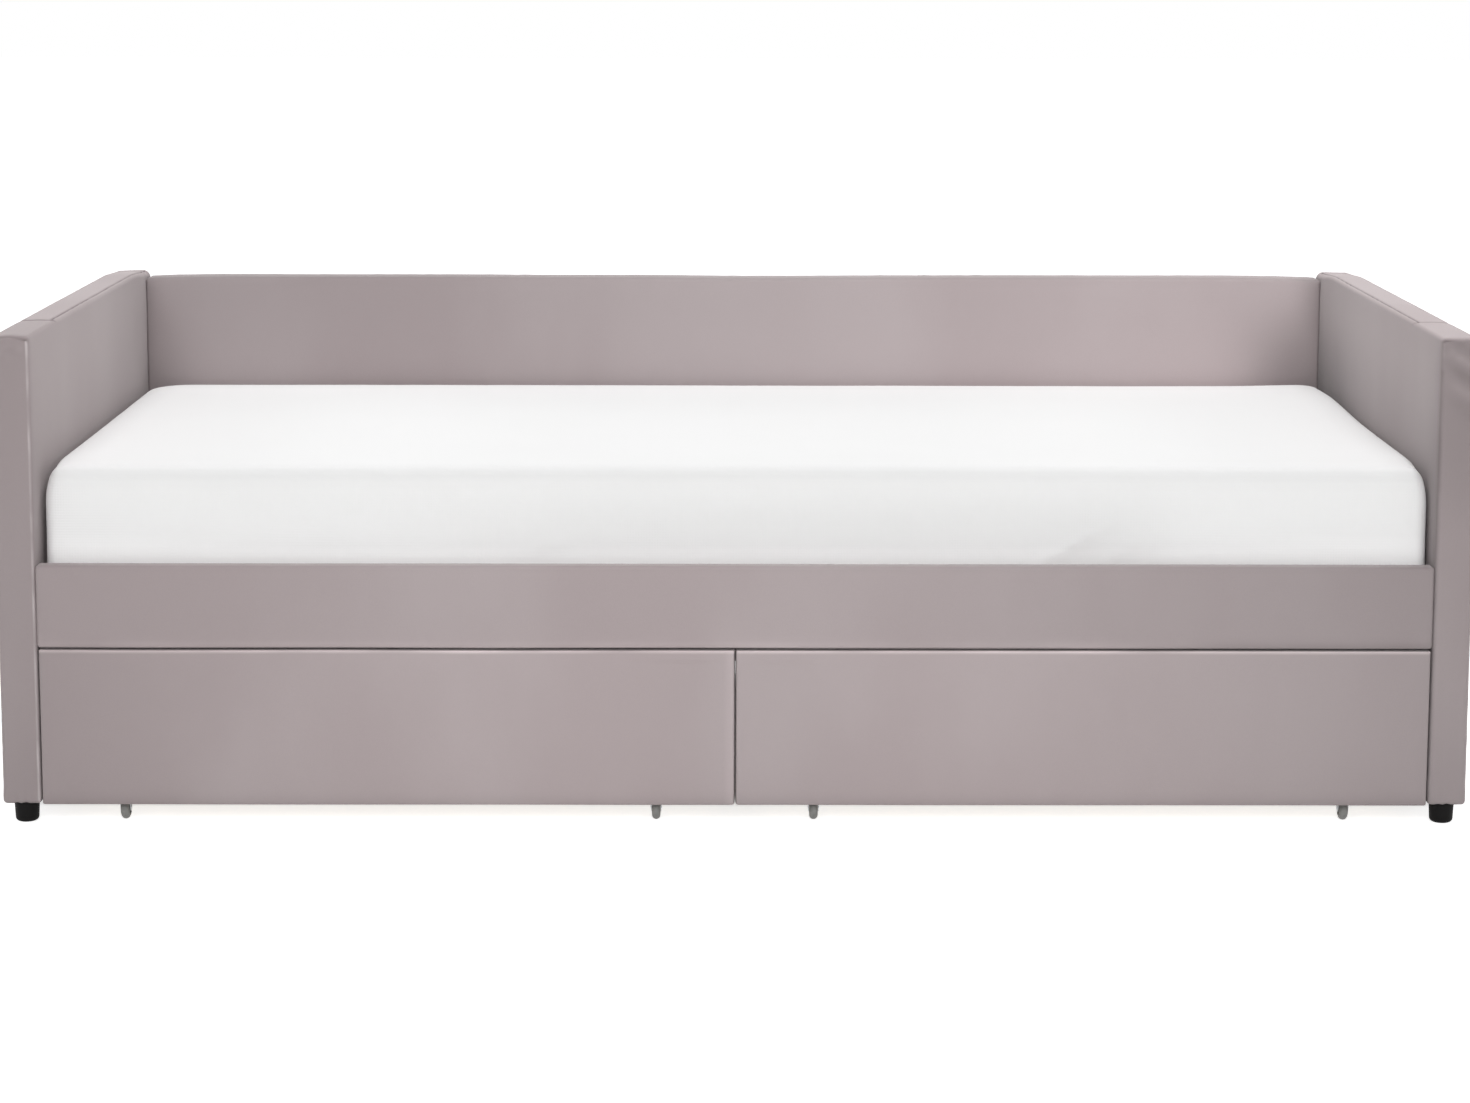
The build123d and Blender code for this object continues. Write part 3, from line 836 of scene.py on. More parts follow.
class DAYBED_OT_back(bpy.types.Operator):
    """Upholster the back in velvet, open underneath"""

    bl_idname = "daybed.back"
    bl_label = "Back cover"

    def execute(self, context):
        settings = context.scene.daybed_velvet
        low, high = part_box("back_cover")
        seam_y = high.y - SEAM_INSET
        steps = (settings.cell * 1.15, 0.011, settings.cell)
        fine = ((), [(seam_y, 0.0024, 0.0012)], ())
        bm = rounded_block(low, high, settings.edge_radius, steps, fine, (2, low.z))
        # The top seam draws the cover in and takes painted shade; the lines down both ends have no depth
        # and are painted shade where the back meets the arms
        along_top = [(low.x + 0.004, seam_y, high.z), (high.x - 0.004, seam_y, high.z)]
        seams = [Seam(along_top, settings.seam_depth, dark=0.7, seed=21.0)]
        for x, dark, seed in ((low.x, 0.7, 22.0), (high.x, 0.5, 23.0)):
            seams.append(Seam([(x, low.y, low.z), (x, low.y, high.z)], 0.0, 0.003, dark=dark, seed=seed))

        def settle(place, normal):
            # The top edge sinks a little all along, more at its ends and in the middle, and wavers
            to_end = min(place.x - low.x, high.x - place.x)
            near_top = ease((place.z - high.z + 0.12) / 0.12)
            drop = 0.0022 + 0.0030 * math.exp(-to_end / 0.055) + 0.0015 * hump(place.x + 0.03, 0.25)
            return Vector((0, 0, (0.0012 * drift(place.x * 3.1, 8.0) - drop) * near_top))

        def painted_light(place, normal):
            if normal.y > 0.5:
                return 1.0

            # Painted light that grows from left to right, painted shade in the corners by the arms that
            # widens towards the mattress, and painted shade on the top face
            to_right, to_left = high.x - place.x, place.x - low.x
            value = 0.83 + 0.37 * max(0.0, min(1.0, (place.x + 1.0) / 1.8)) ** 1.7
            lower = ease((0.70 - place.z) / 0.18)
            value -= 0.34 * hump(to_right, 0.035) * (1 - lower)
            value -= 0.45 * hump(to_right - 0.05, 0.075) * lower
            value -= 0.10 * hump(to_left, 0.02 + 0.05 * lower)
            return value * (1 - 0.2 * max(0.0, normal.z))

        upholster(bm, low, high, settings.puff * 1.3, seams, settle, painted_light, seed=31.0, waviness=0.0008)
        piece = piece_from(bm, "back_velvet", "velvet")
        thicken(piece, "Velvet and foam", SLAB_WALL)
        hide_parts("back_cover")
        return {"FINISHED"}


def seam_gap_wave(x):
    """Give the slow rise and fall of the gap between the rail and the drawers."""
    return 0.0006 * drift(x * 4.2, 40.0)


class DAYBED_OT_rail(bpy.types.Operator):
    """Upholster the front rail in velvet"""

    bl_idname = "daybed.rail"
    bl_label = "Front rail cover"

    def execute(self, context):
        settings = context.scene.daybed_velvet
        low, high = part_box("front_rail_cover")
        bm = rounded_block(low, high, settings.edge_radius, (settings.cell * 1.15, 0.006, 0.008))

        def settle(place, normal):
            return Vector((0, 0, seam_gap_wave(place.x) * ease((low.z + 0.03 - place.z) / 0.03)))

        def painted_light(place, normal):
            # A painted highlight along the lower edge that turns to painted shade at the right end, painted
            # shade on the top and underneath, and painted shade towards both ends
            painted_edge_light = 0.07 + 0.09 * drift(place.x * 9, 5.0) - 0.16 * ease((place.x - 0.55) / 0.2)
            painted_edge_light *= hump(place.z - low.z - 0.004, 0.007)
            painted_face_shade = 1 - 0.10 * max(0.0, normal.z) - 0.6 * ease((-normal.z - 0.5) / 0.5)
            painted_falloff = 0.95 - (0.12 if place.x < -0.1 else 0.19) * abs(place.x + 0.1) ** 1.6
            return (painted_falloff + painted_edge_light) * painted_face_shade

        upholster(bm, low, high, 0.0009, (), settle, painted_light, seed=51.0, waviness=0.0005)
        piece = piece_from(bm, "front_rail_velvet", "velvet")
        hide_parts("front_rail_cover")
        return {"FINISHED"}


class DAYBED_OT_drawer_fronts(bpy.types.Operator):
    """Upholster both drawer fronts, with the velvet turned in behind"""

    bl_idname = "daybed.drawer_fronts"
    bl_label = "Drawer fronts"

    EDGE_RADIUS = 0.003
    # The turned-in velvet: its inset, its least width and how much wider it lies at the top and the ends
    TURN_INSET, TURN_WIDTH, TURN_EXTRA = 0.0025, 0.009, 0.008
    # Its distance from the board's back, and its thickness
    TURN_GAP, TURN_WALL = 0.0002, 0.0008

    def turn_in(self, hand, low, high):
        """Lay the velvet's turned-in edge on the back of a front, between its board and the box."""
        bm = bmesh.new()
        bmesh.ops.create_grid(bm, x_segments=1, y_segments=1, size=0.5)
        upright = Matrix.Rotation(math.radians(-90), 3, "X")
        bmesh.ops.rotate(bm, cent=(0, 0, 0), matrix=upright, verts=bm.verts)
        span = high - low
        narrower = 2 * self.TURN_INSET
        bmesh.ops.scale(bm, vec=(span.x - narrower, 1, span.z - narrower), verts=bm.verts)
        centre = (low + high) / 2
        bmesh.ops.translate(bm, vec=(centre.x, high.y + self.TURN_GAP, centre.z), verts=bm.verts)
        rim = bmesh.ops.inset_region(
            bm, faces=bm.faces[:], thickness=self.TURN_WIDTH, use_boundary=True, use_even_offset=True
        )
        inner = [face for face in bm.faces if face not in rim["faces"]]
        for vertex in {vertex for face in inner for vertex in face.verts}:
            if vertex.co.z > centre.z:
                vertex.co.z -= self.TURN_EXTRA
            vertex.co.x += self.TURN_EXTRA if vertex.co.x < centre.x else -self.TURN_EXTRA
        bmesh.ops.delete(bm, geom=inner, context="FACES")
        cut_through(bm, 0, cut_places(low.x, high.x, 0.012))
        cut_through(bm, 2, cut_places(low.z, high.z, 0.012))
        painted_light_layer = bm.verts.layers.float.new("painted_light")
        for vertex in bm.verts:
            if inset_of(vertex.co, low, high, (0, 2)) > 0.006:
                vertex.co.y += 0.0004 * abs(noise.noise(vertex.co * 40))
            # The turned-in velvet takes the front's painted shade towards the ends, a little darker
            vertex[painted_light_layer] = front_painted_shade(vertex.co.x) * 0.95
        bm.normal_update()
        if bm.faces[:][0].normal.y < 0:
            bmesh.ops.reverse_faces(bm, faces=bm.faces[:])
        piece = piece_from(bm, f"{hand}_drawer_front_turn_in", "velvet", f"{hand}_drawer")
        thicken(piece, "Velvet", self.TURN_WALL, 1.0)

    def execute(self, context):
        settings = context.scene.daybed_velvet
        for hand, side in SIDES.items():
            node = f"{hand}_drawer_front_cover"
            low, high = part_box(node)
            ripples = [(high.z - 0.012, 0.009, 0.003)]
            steps = (settings.cell, 0.004, 0.010)
            bm = rounded_block(low, high, self.EDGE_RADIUS, steps, ((), (), ripples), (1, high.y))
            inner = low.x if side > 0 else high.x

            def settle(place, normal):
                # The upper edge follows the gap under the rail, and the inner end swells behind its edge
                high_up = ease((place.z - high.z + 0.03) / 0.03)
                shift = Vector((0, 0, seam_gap_wave(place.x) * high_up))
                if abs(place.x - inner) < 0.001:
                    shift.x -= side * 0.0007 * ease((place.y - low.y) / 0.008)

                # A soft ridge and hollow under the upper edge, near the middle of the bed
                if normal.y < -0.5:
                    below = place.z - high.z
                    ridge = hump(below + 0.0135, 0.0024) - 0.7 * hump(below + 0.019, 0.003)
                    shift += normal * 0.0008 * hump(abs(place.x - inner) - 0.075, 0.05) * ridge
                return shift

            def painted_light(place, normal):
                # A painted, uneven highlight along the upper edge, painted shade along the lower edge and a
                # painted highlight at the left inner corner; painted shade on the top and ends, towards the
                # bed's ends and near its middle
                uneven = 1 + 0.9 * drift(place.x * 9, 3.0 * side)
                painted_edge_light = 0.55 * uneven * hump(high.z - place.z - 0.0012, 0.0022)
                painted_edge_light -= 0.10 * hump(place.z - low.z, 0.012)
                if side < 0:
                    painted_edge_light += 0.12 * hump(abs(place.x - inner) - 0.003, 0.0035)
                painted_face_shade = 1 - 0.6 * ease((normal.z - 0.8) / 0.2) - 0.5 * ease((abs(normal.x) - 0.8) / 0.2)
                painted_falloff = front_painted_shade(place.x, 2.6) * (1.01 - 0.03 * ease((place.x - 0.3) / 0.6))
                return (painted_falloff - 0.06 * hump(place.x - 0.04, 0.13) + painted_edge_light) * painted_face_shade

            upholster(bm, low, high, 0.0010, (), settle, painted_light, seed=61.0 + 9 * side)
            piece = piece_from(bm, f"{hand}_drawer_front_velvet", "velvet", f"{hand}_drawer")
            thicken(piece, "Velvet and foam", FRONT_WALL)
            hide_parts(node)
            self.turn_in(hand, low, high)
        return {"FINISHED"}


def inflate(piece, pressure, cap, low, high):
    """Fill a closed cloth form for twenty frames within a cap, then fit its shape between two corners."""
    scene = bpy.context.scene
    mesh = piece.data
    start = [vertex.co.copy() for vertex in mesh.vertices]
    cloth = piece.modifiers.new("Filling", "CLOTH")
    values = {
        "quality": 4,
        "mass": 0.4,
        "tension_stiffness": 20,
        "compression_stiffness": 20,
        "shear_stiffness": 10,
        "bending_stiffness": 2,
        "use_pressure": True,
        "uniform_pressure_force": pressure,
    }
    for name, value in values.items():
        setattr(cloth.settings, name, value)
    cloth.settings.effector_weights.gravity = 0
    cloth.collision_settings.use_collision = False
    cloth.point_cache.frame_start = 1
    cloth.point_cache.frame_end = 20
    for number in range(1, 21):
        scene.frame_set(number)
    shaped = piece.evaluated_get(bpy.context.evaluated_depsgraph_get()).to_mesh()
    ends = [vertex.co.copy() for vertex in shaped.vertices]
    piece.to_mesh_clear()
    piece.modifiers.remove(cloth)
    scene.frame_set(1)
    for vertex, before, after in zip(mesh.vertices, start, ends):
        move = after - before
        if move.length > cap:
            move *= cap / move.length
        vertex.co = before + move
    for axis in range(3):
        least = min(vertex.co[axis] for vertex in mesh.vertices)
        most = max(vertex.co[axis] for vertex in mesh.vertices)
        scale = (high[axis] - low[axis]) / (most - least)
        for vertex in mesh.vertices:
            vertex.co[axis] = low[axis] + (vertex.co[axis] - least) * scale


class DAYBED_OT_mattress(bpy.types.Operator):
    """Make the mattress: a filled cloth form, crowned, with soft edges and a few faint folds"""

    bl_idname = "daybed.mattress"
    bl_label = "Mattress"

    # How far the cloth stands past the plain solid at its left and right ends, and may move as it fills
    PAST_LEFT, PAST_RIGHT, MOST_MOVE = 0.0026, 0.0063, 0.0018
    # The right rear corner is rounded less than the left one
    REAR_SHARES = ((-1, 1.0), (1, 0.62))
    # Folds in the front, each by its middle, slant, reach, width and depth
    FOLDS = (
        (0.491, 0.409, 31, 0.060, 0.0060, 0.0042),
        (0.560, 0.397, 40, 0.030, 0.0060, 0.0022),
        (-0.292, 0.402, 12, 0.035, 0.0055, 0.0010),
        (-0.270, 0.412, -14, 0.022, 0.0050, 0.0008),
    )
    # Closer cuts where the folds are, each by its axis, ends and step
    FOLD_CUTS = ((0, 0.40, 0.62, 0.010), (0, -0.34, -0.24, 0.012), (2, 0.37, 0.455, 0.008))

    def tone(self, share_x, share_y, height, normal):
        """Give the painted light and shade on the cloth.

        It takes painted shade over its upper front edge and in the slack middle of its front, and painted
        light towards the ends, at the back and low on the front.
        """
        upward, forward = max(0.0, normal.z), max(0.0, -normal.y)
        front_edge = min(1.0, 2 * forward * upward)
        slack = forward * ease((0.72 - share_x) / 0.22) * ease((share_x + 0.75) / 0.75)
        painted_cloth_shade = 0.12 * front_edge + 0.07 * slack * hump(height - 0.54, 0.27)
        rearward = ease((share_y - 0.3) / 0.7)
        painted_cloth_light = upward**2 * (0.06 * ease((abs(share_x) - 0.2) / 0.5) + 0.03 * rearward)
        endward = ease((abs(share_x) - 0.55) / 0.45)
        lit_low = 0.10 * ease((0.36 - height) / 0.14) + 0.14 * ease((0.5 - height) / 0.3) * endward
        return min(1.085, 1 - painted_cloth_shade + painted_cloth_light + forward * lit_low)

    def rounded_form(self, settings, low, high):
        """Round a block's upright corners widely, and its upper and lower edges less."""
        bm = block(low, high)
        middle = (low.y + high.y) / 2

        def upright(edge):
            return abs(edge.verts[0].co.z - edge.verts[1].co.z) > 0.01

        front = [edge for edge in bm.edges if upright(edge) and edge.verts[0].co.y < middle]
        round_edges(bm, front, settings.front_corner, 6)
        for side, share in self.REAR_SHARES:
            rear = [edge for edge in bm.edges if upright(edge) and edge.verts[0].co.y > middle]
            rear = [edge for edge in rear if edge.verts[0].co.x * side > 0]
            round_edges(bm, rear[:1], settings.rear_corner * share, 8)
        for height, radius, segments in ((high.z, settings.top_round, 4), (low.z, settings.foot_round, 3)):
            level = {vertex for vertex in bm.verts if abs(vertex.co.z - height) < 0.0001}
            rim = [edge for edge in bm.edges if level.issuperset(edge.verts)]
            round_edges(bm, rim, radius, segments)
        corner = settings.rear_corner
        cut_through(bm, 0, cut_places(low.x + corner, high.x - corner, settings.cell))
        cut_through(bm, 1, cut_places(low.y + settings.front_corner, high.y - corner, settings.cell))
        lowest, highest = low.z + settings.foot_round, high.z - settings.top_round
        cut_through(bm, 2, cut_places(lowest, highest, settings.cell * 0.8))
        return bm

    def folded(self, place):
        """Give how far the front's folds move a point out: by a small ridge, and a step that fades."""
        out = 0.0
        for x, z, angle, reach, width, depth in self.FOLDS:
            turn = math.radians(angle)
            along = (place.x - x) * math.cos(turn) + (place.z - z) * math.sin(turn)
            off = (place.z - z) * math.cos(turn) - (place.x - x) * math.sin(turn)
            ridge = 0.3 * hump(off - width * 0.6, width)
            step = 1 - math.exp(min(0.0, off) / (2.6 * width))
            out += depth * hump(along, reach) * (ridge - step)
        return out

    def execute(self, context):
        settings = context.scene.daybed_mattress
        low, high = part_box("mattress")
        centre = (low + high) / 2
        full_low = low - Vector((self.PAST_LEFT, 0, 0))
        full_high = high + Vector((self.PAST_RIGHT, 0, settings.rise))
        bm = self.rounded_form(settings, full_low, full_high)
        piece = piece_from(bm, "mattress_cover", "mattress_cloth", "mattress")
        inflate(piece, settings.pressure, self.MOST_MOVE, full_low, full_high)

        bm = bmesh.new()
        bm.from_mesh(piece.data)
        for axis, start, end, step in self.FOLD_CUTS:
            cut_through(bm, axis, cut_places(start, end, step))
        bm.normal_update()
        # Each point's tone is its painted light and shade
        painted_cloth_light_layer = bm.verts.layers.float.new("tone")
        moves = []
        for vertex in bm.verts:
            place, normal = vertex.co, vertex.normal
            forward = max(0.0, -normal.y)
            share_x = (place.x - centre.x) / (high.x - centre.x)
            share_y = (place.y - centre.y) / (high.y - centre.y)
            height = max(0.0, min(1.0, (place.z - low.z) / (high.z - low.z)))

            # The sides draw in at half height, and the slack lower front more
            waist = -0.0008 * (1 - min(1.0, abs(normal.z))) * math.sin(math.pi * height)
            slack = ease((0.62 - abs(place.x - 0.10)) / 0.25) * hump(height - 0.22, 0.25) * forward
            rolling = 0.0007 * noise.noise(place * 3.2) + 0.0003 * noise.noise(place * 11)
            folds = self.folded(place) if normal.y < -0.6 else 0.0
            shift = normal * (waist + rolling - 0.0035 * slack + folds)

            # The front leans back, the top is crowned and the front's upper corners draw in
            shift.y += 0.0045 * ease(height) * forward
            if normal.z > 0.6:
                shift.z += settings.crown * (1 - share_x**4) * (1 - share_y**2)
            end = ease((abs(place.x) - high.x + 0.035) / 0.035) * ease((low.y + 0.12 - place.y) / 0.1)
            shift.x -= math.copysign(0.008, place.x) * end * ease((height - 0.74) / 0.26)

            # The cloth is drawn up at the right rear
            if height > 0.6:
                shift.z += 0.0065 * hump(high.x - place.x - 0.02, 0.08) * hump(place.y - 0.25, 0.17)
            moves.append((vertex, shift, self.tone(share_x, share_y, height, normal)))
        for vertex, shift, tone in moves:
            vertex.co += shift
            vertex.co.z = max(vertex.co.z, low.z)
            vertex[painted_cloth_light_layer] = tone
        bm.to_mesh(piece.data)
        bm.free()
        piece.data.shade_smooth()
        soften = piece.modifiers.new("Cloth smoothing", "SUBSURF")
        soften.levels = 1
        soften.render_levels = 1
        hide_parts("mattress")
        return {"FINISHED"}


def turned(profile, steps, axis, centre):
    """Spin a closed or open profile of (along, out) points once round an axis through a centre."""
    bm = bmesh.new()
    along = Vector((0, 0, 0))
    along[axis] = 1
    out = Vector((0, 0, 1)) if axis != 2 else Vector((1, 0, 0))
    verts = [bm.verts.new(centre + along * a + out * r) for a, r in profile]
    edges = [bm.edges.new(pair) for pair in zip(verts, verts[1:])]
    bmesh.ops.spin(
        bm, geom=verts + edges, cent=centre, axis=along, angle=2 * math.pi, steps=steps, use_merge=True
    )
    bmesh.ops.remove_doubles(bm, verts=bm.verts[:], dist=0.000005)
    bmesh.ops.recalc_face_normals(bm, faces=bm.faces[:])
    return bm


class DAYBED_OT_wheels(bpy.types.Operator):
    """Make the castor wheels, with rounded treads, sunk webs and hubs"""

    bl_idname = "daybed.wheels"
    bl_label = "Castor wheels"

    # One face of a wheel from its bore outwards, each point by its radius and its depth below the side
    FACE = (
        (0.0021, 0.0),
        (0.0048, 0.0),
        (0.0052, 0.0004),
        (0.0056, 0.0018),
        (0.0098, 0.0022),
        (0.0106, 0.0006),
        (0.0112, 0.0001),
    )

    def profile(self, half, radius, crown):
        """Give a wheel's closed outline: one face, the tread and the other face."""
        face = [(half - depth, out) for out, depth in self.FACE]
        outline = [(-along, out) for along, out in face]
        for turn in range(0, 181, 15):
            angle = math.radians(turn)
            outline.append((-half * math.cos(angle), radius - crown + crown * math.sin(angle)))
        outline += reversed(face)
        return outline + outline[:1]

    def execute(self, context):
        crown = context.scene.daybed_fittings.wheel_crown
        for hand in SIDES:
            for wheel in WHEELS:
                node = f"{hand}_drawer_{wheel}_wheel"
                low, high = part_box(node)
                half, _, radius = (high - low) / 2
                bm = turned(self.profile(half, radius, crown), 40, 0, (low + high) / 2)
                name = f"{hand}_{wheel}_wheel"
                piece = piece_from(bm, f"{name}_moulding", "wheel_plastic", name)
                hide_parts(node)
        return {"FINISHED"}


class DAYBED_OT_feet(bpy.types.Operator):
    """Make the four tapered plastic feet with their steel studs"""

    bl_idname = "daybed.feet"
    bl_label = "Feet"

    TOP_RADIUS, SOLE_RADIUS, HEIGHT = 0.0185, 0.017, 0.033
    STUD_RADIUS = 0.004

    def execute(self, context):
        low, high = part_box("feet")
        top, sole, height, stud_radius = self.TOP_RADIUS, self.SOLE_RADIUS, self.HEIGHT, self.STUD_RADIUS
        rounding = context.scene.daybed_fittings.foot_round
        profile = [(0.0, 0.0), (0.0, 0.006), (0.0, sole - rounding)]
        for turn in (18, 36, 54, 72, 90):
            angle = math.radians(turn)
            out = sole - rounding + rounding * math.sin(angle) + 0.0001
            profile.append((rounding * (1 - math.cos(angle)), out))
        for share in (0.5, 0.95):
            profile.append((rounding + (height - rounding) * share, sole + (top - sole) * share))
        profile += [(height - 0.0004, top), (height, top - 0.0006), (height, stud_radius), (height, 0.0)]
        stud = [(height - 0.001, 0.0), (height - 0.001, stud_radius), (high.z - 0.001, stud_radius)]
        stud += [(high.z, 0.0032), (high.z, 0.0)]
        bm = bmesh.new()
        studs = bmesh.new()
        for x in (low.x + top, high.x - top):
            for y in (low.y + top, high.y - top):
                join_into(bm, turned(profile, 48, 2, Vector((x, y, 0))))
                join_into(studs, turned(stud, 16, 2, Vector((x, y, 0))))
        piece = piece_from(bm, "foot_mouldings", "foot_plastic")
        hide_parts("feet")
        piece_from(studs, "foot_studs", "zinc_steel")
        return {"FINISHED"}


def facing(direction):
    """Give the turn that points +Z along a direction."""
    return Vector(direction).to_track_quat("Z", "Y").to_matrix().to_4x4()


def add_screw(bm, place, direction, radius):
    """Add a wood screw's domed head with its cross recess, standing on a surface."""
    height, recess = 0.0014, 0.0009
    direction = Vector(direction)
    stand = Matrix.Translation(Vector(place) + direction * (height / 2)) @ facing(direction)
    made = bmesh.ops.create_cone(
        bm, cap_ends=True, segments=16, radius1=radius, radius2=radius * 0.72, depth=height, matrix=stand
    )
    cap = max(
        (face for face in bm.faces if face.verts[0] in made["verts"] and len(face.verts) == 16),
        key=lambda face: face.calc_center_median().dot(direction),
    )
    bmesh.ops.inset_individual(bm, faces=[cap], thickness=radius * 0.2)
    middle = cap.calc_center_median()
    for number, vertex in enumerate(cap.verts):
        if number % 4 == 2:
            vertex.co = middle.lerp(vertex.co, 0.34)
    pressed = bmesh.ops.extrude_discrete_faces(bm, faces=[cap])["faces"][0]
    for vertex in pressed.verts:
        vertex.co = middle.lerp(vertex.co, 0.55) - direction * recess


class DAYBED_OT_screws(bpy.types.Operator):
    """Drive the screws that hold the drawer boxes, their fronts and the castor plates"""

    bl_idname = "daybed.screws"
    bl_label = "Drawer screws"

    # Half the distance between a castor plate's holes, across and back, and the plate's thickness
    HOLE_X, HOLE_Y, PLATE = 0.0165, 0.0115, 0.0015
    # Where the screws stand along a front and along the back edge of a bottom, as shares of its width
    FRONT_SHARES, BOTTOM_SHARES = (0.05, 0.275, 0.5, 0.725, 0.95), (0.08, 0.36, 0.64, 0.92)

    def execute(self, context):
        radius = context.scene.daybed_fittings.screw_radius
        for hand, side in SIDES.items():
            bm = bmesh.new()
            low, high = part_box(f"{hand}_drawer_box_front")
            for share in self.FRONT_SHARES:
                for z in (low.z + 0.03, high.z - 0.03):
                    add_screw(bm, (low.x + (high.x - low.x) * share, high.y, z), (0, 1, 0), radius)
            back_low, back_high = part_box(f"{hand}_drawer_back")
            for place, out in (("inner", -side), ("outer", side)):
                side_low, side_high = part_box(f"{hand}_drawer_{place}_side")
                face_x = side_high.x if out > 0 else side_low.x
                for y in ((low.y + high.y) / 2, (back_low.y + back_high.y) / 2):
                    for z in (side_low.z + 0.025, (side_low.z + side_high.z) / 2, side_high.z - 0.025):
                        add_screw(bm, (face_x, y, z), (out, 0, 0), radius * 0.85)
            bottom_low, bottom_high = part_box(f"{hand}_drawer_bottom")
            plate_z = bottom_low.z - self.PLATE
            for wheel in WHEELS:
                wheel_low, wheel_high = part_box(f"{hand}_drawer_{wheel}_wheel")
                centre = (wheel_low + wheel_high) / 2
                for x in (-self.HOLE_X, self.HOLE_X):
                    for y in (-self.HOLE_Y, self.HOLE_Y):
                        add_screw(bm, (centre.x + x, centre.y + y, plate_z), (0, 0, -1), radius * 0.75)
            for share in self.BOTTOM_SHARES:
                x = bottom_low.x + (bottom_high.x - bottom_low.x) * share
                add_screw(bm, (x, bottom_high.y - 0.006, bottom_low.z), (0, 0, -1), radius * 0.85)
            bmesh.ops.recalc_face_normals(bm, faces=bm.faces[:])
            body = f"{hand}_drawer"
            piece_from(bm, f"{body}_screws", "zinc_steel", body, smooth=False)
        return {"FINISHED"}


# Length, width and thickness of a staple's crown
STAPLE = (0.010, 0.0009, 0.0007)


def add_staple(bm, place, direction, along):
    """Add a staple's rounded crown, pressed against a surface."""
    stand = facing(direction)
    level = stand.to_3x3().inverted() @ Vector(along)
    spin = Matrix.Rotation(math.atan2(level.y, level.x), 4, "Z")
    matrix = Matrix.Translation(Vector(place)) @ stand @ spin @ Matrix.Diagonal((*STAPLE, 1))
    made = bmesh.ops.create_cube(bm, size=1.0, matrix=matrix)
    edges = {edge for vertex in made["verts"] for edge in vertex.link_edges}
    round_edges(bm, list(edges), 0.0002, 1)


class DAYBED_OT_undersides(bpy.types.Operator):
    """Stretch black dust cloths under the arms and the back, and staple all turned-in edges"""

    bl_idname = "daybed.undersides"
    bl_label = "Dust cloths and staples"

    # How far a dust cloth lies in from its slab's faces, and its staples from its own edges
    CLOTH_INSET, STAPLE_INSET = 0.0045, 0.004
    # How far it lies below its slab and sags between staples, how thick it is and how wide its cells are
    CLOTH_DROP, SAG, FELT, CLOTH_CELL = 0.0004, 0.0004, 0.0003, 0.011

    def dust_cloth(self, name, low, high, z, frame_node):
        """Lay a thin cloth under a slab, a little in from its faces, sagging by a hair between staples."""
        bm = bmesh.new()
        bmesh.ops.create_grid(bm, x_segments=1, y_segments=1, size=0.5)
        span = high - low
        bmesh.ops.scale(bm, vec=(span.x, span.y, 1), verts=bm.verts)
        bmesh.ops.translate(bm, vec=((low.x + high.x) / 2, (low.y + high.y) / 2, z), verts=bm.verts)
        cut_through(bm, 0, cut_places(low.x, high.x, self.CLOTH_CELL))
        cut_through(bm, 1, cut_places(low.y, high.y, self.CLOTH_CELL))
        for vertex in bm.verts:
            between = ease(inset_of(vertex.co, low, high, (0, 1)) / 0.02)
            vertex.co.z -= self.SAG * between * (0.5 + 0.5 * noise.noise(vertex.co * 25))
        bmesh.ops.reverse_faces(bm, faces=bm.faces[:])
        piece = piece_from(bm, name, "dust_cloth")
        thicken(piece, "Felt", self.FELT)

    def staples_round(self, bm, low, high, z, pitch):
        """Put staples along all four edges of a dust cloth."""
        inset = self.STAPLE_INSET
        for y in (low.y + inset, high.y - inset):
            for x in spaced(low.x, high.x, max(1, round((high.x - low.x) / pitch))):
                add_staple(bm, (x, y, z), (0, 0, -1), (1, 0.15, 0))
        for x in (low.x + inset, high.x - inset):
            for y in spaced(low.y, high.y, max(1, round((high.y - low.y) / pitch))):
                add_staple(bm, (x, y, z), (0, 0, -1), (0.1, 1, 0))

    def execute(self, context):
        pitch = context.scene.daybed_fittings.staple_pitch
        staples = bmesh.new()
        inset = Vector((self.CLOTH_INSET, self.CLOTH_INSET, 0))
        for name in ("left_arm", "right_arm", "back"):
            low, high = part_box(f"{name}_cover")
            low, high = low + inset, high - inset
            z = low.z - self.CLOTH_DROP
            self.dust_cloth(f"{name}_dust_cloth", low, high, z, f"{name}_frame")
            self.staples_round(staples, low, high, z - 0.0006, pitch)
        piece_from(staples, "dust_cloth_staples", "zinc_steel", smooth=False)
        for hand in SIDES:
            bm = bmesh.new()
            low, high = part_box(f"{hand}_drawer_front_cover")
            y = high.y + 0.0013
            for x in spaced(low.x, high.x, round((high.x - low.x) / pitch)):
                add_staple(bm, (x, y, high.z - 0.011), (0, 1, 0), (1, 0, 0.1))
                add_staple(bm, (x, y, low.z + 0.0075), (0, 1, 0), (1, 0, 0))
            for x in (low.x + 0.011, high.x - 0.011):
                for above in (0.05, 0.1, 0.15, 0.195):
                    add_staple(bm, (x, y, low.z + above), (0, 1, 0), (0.1, 0, 1))
            body = f"{hand}_drawer"
            piece_from(bm, f"{body}_front_staples", "zinc_steel", body, smooth=False)
        return {"FINISHED"}


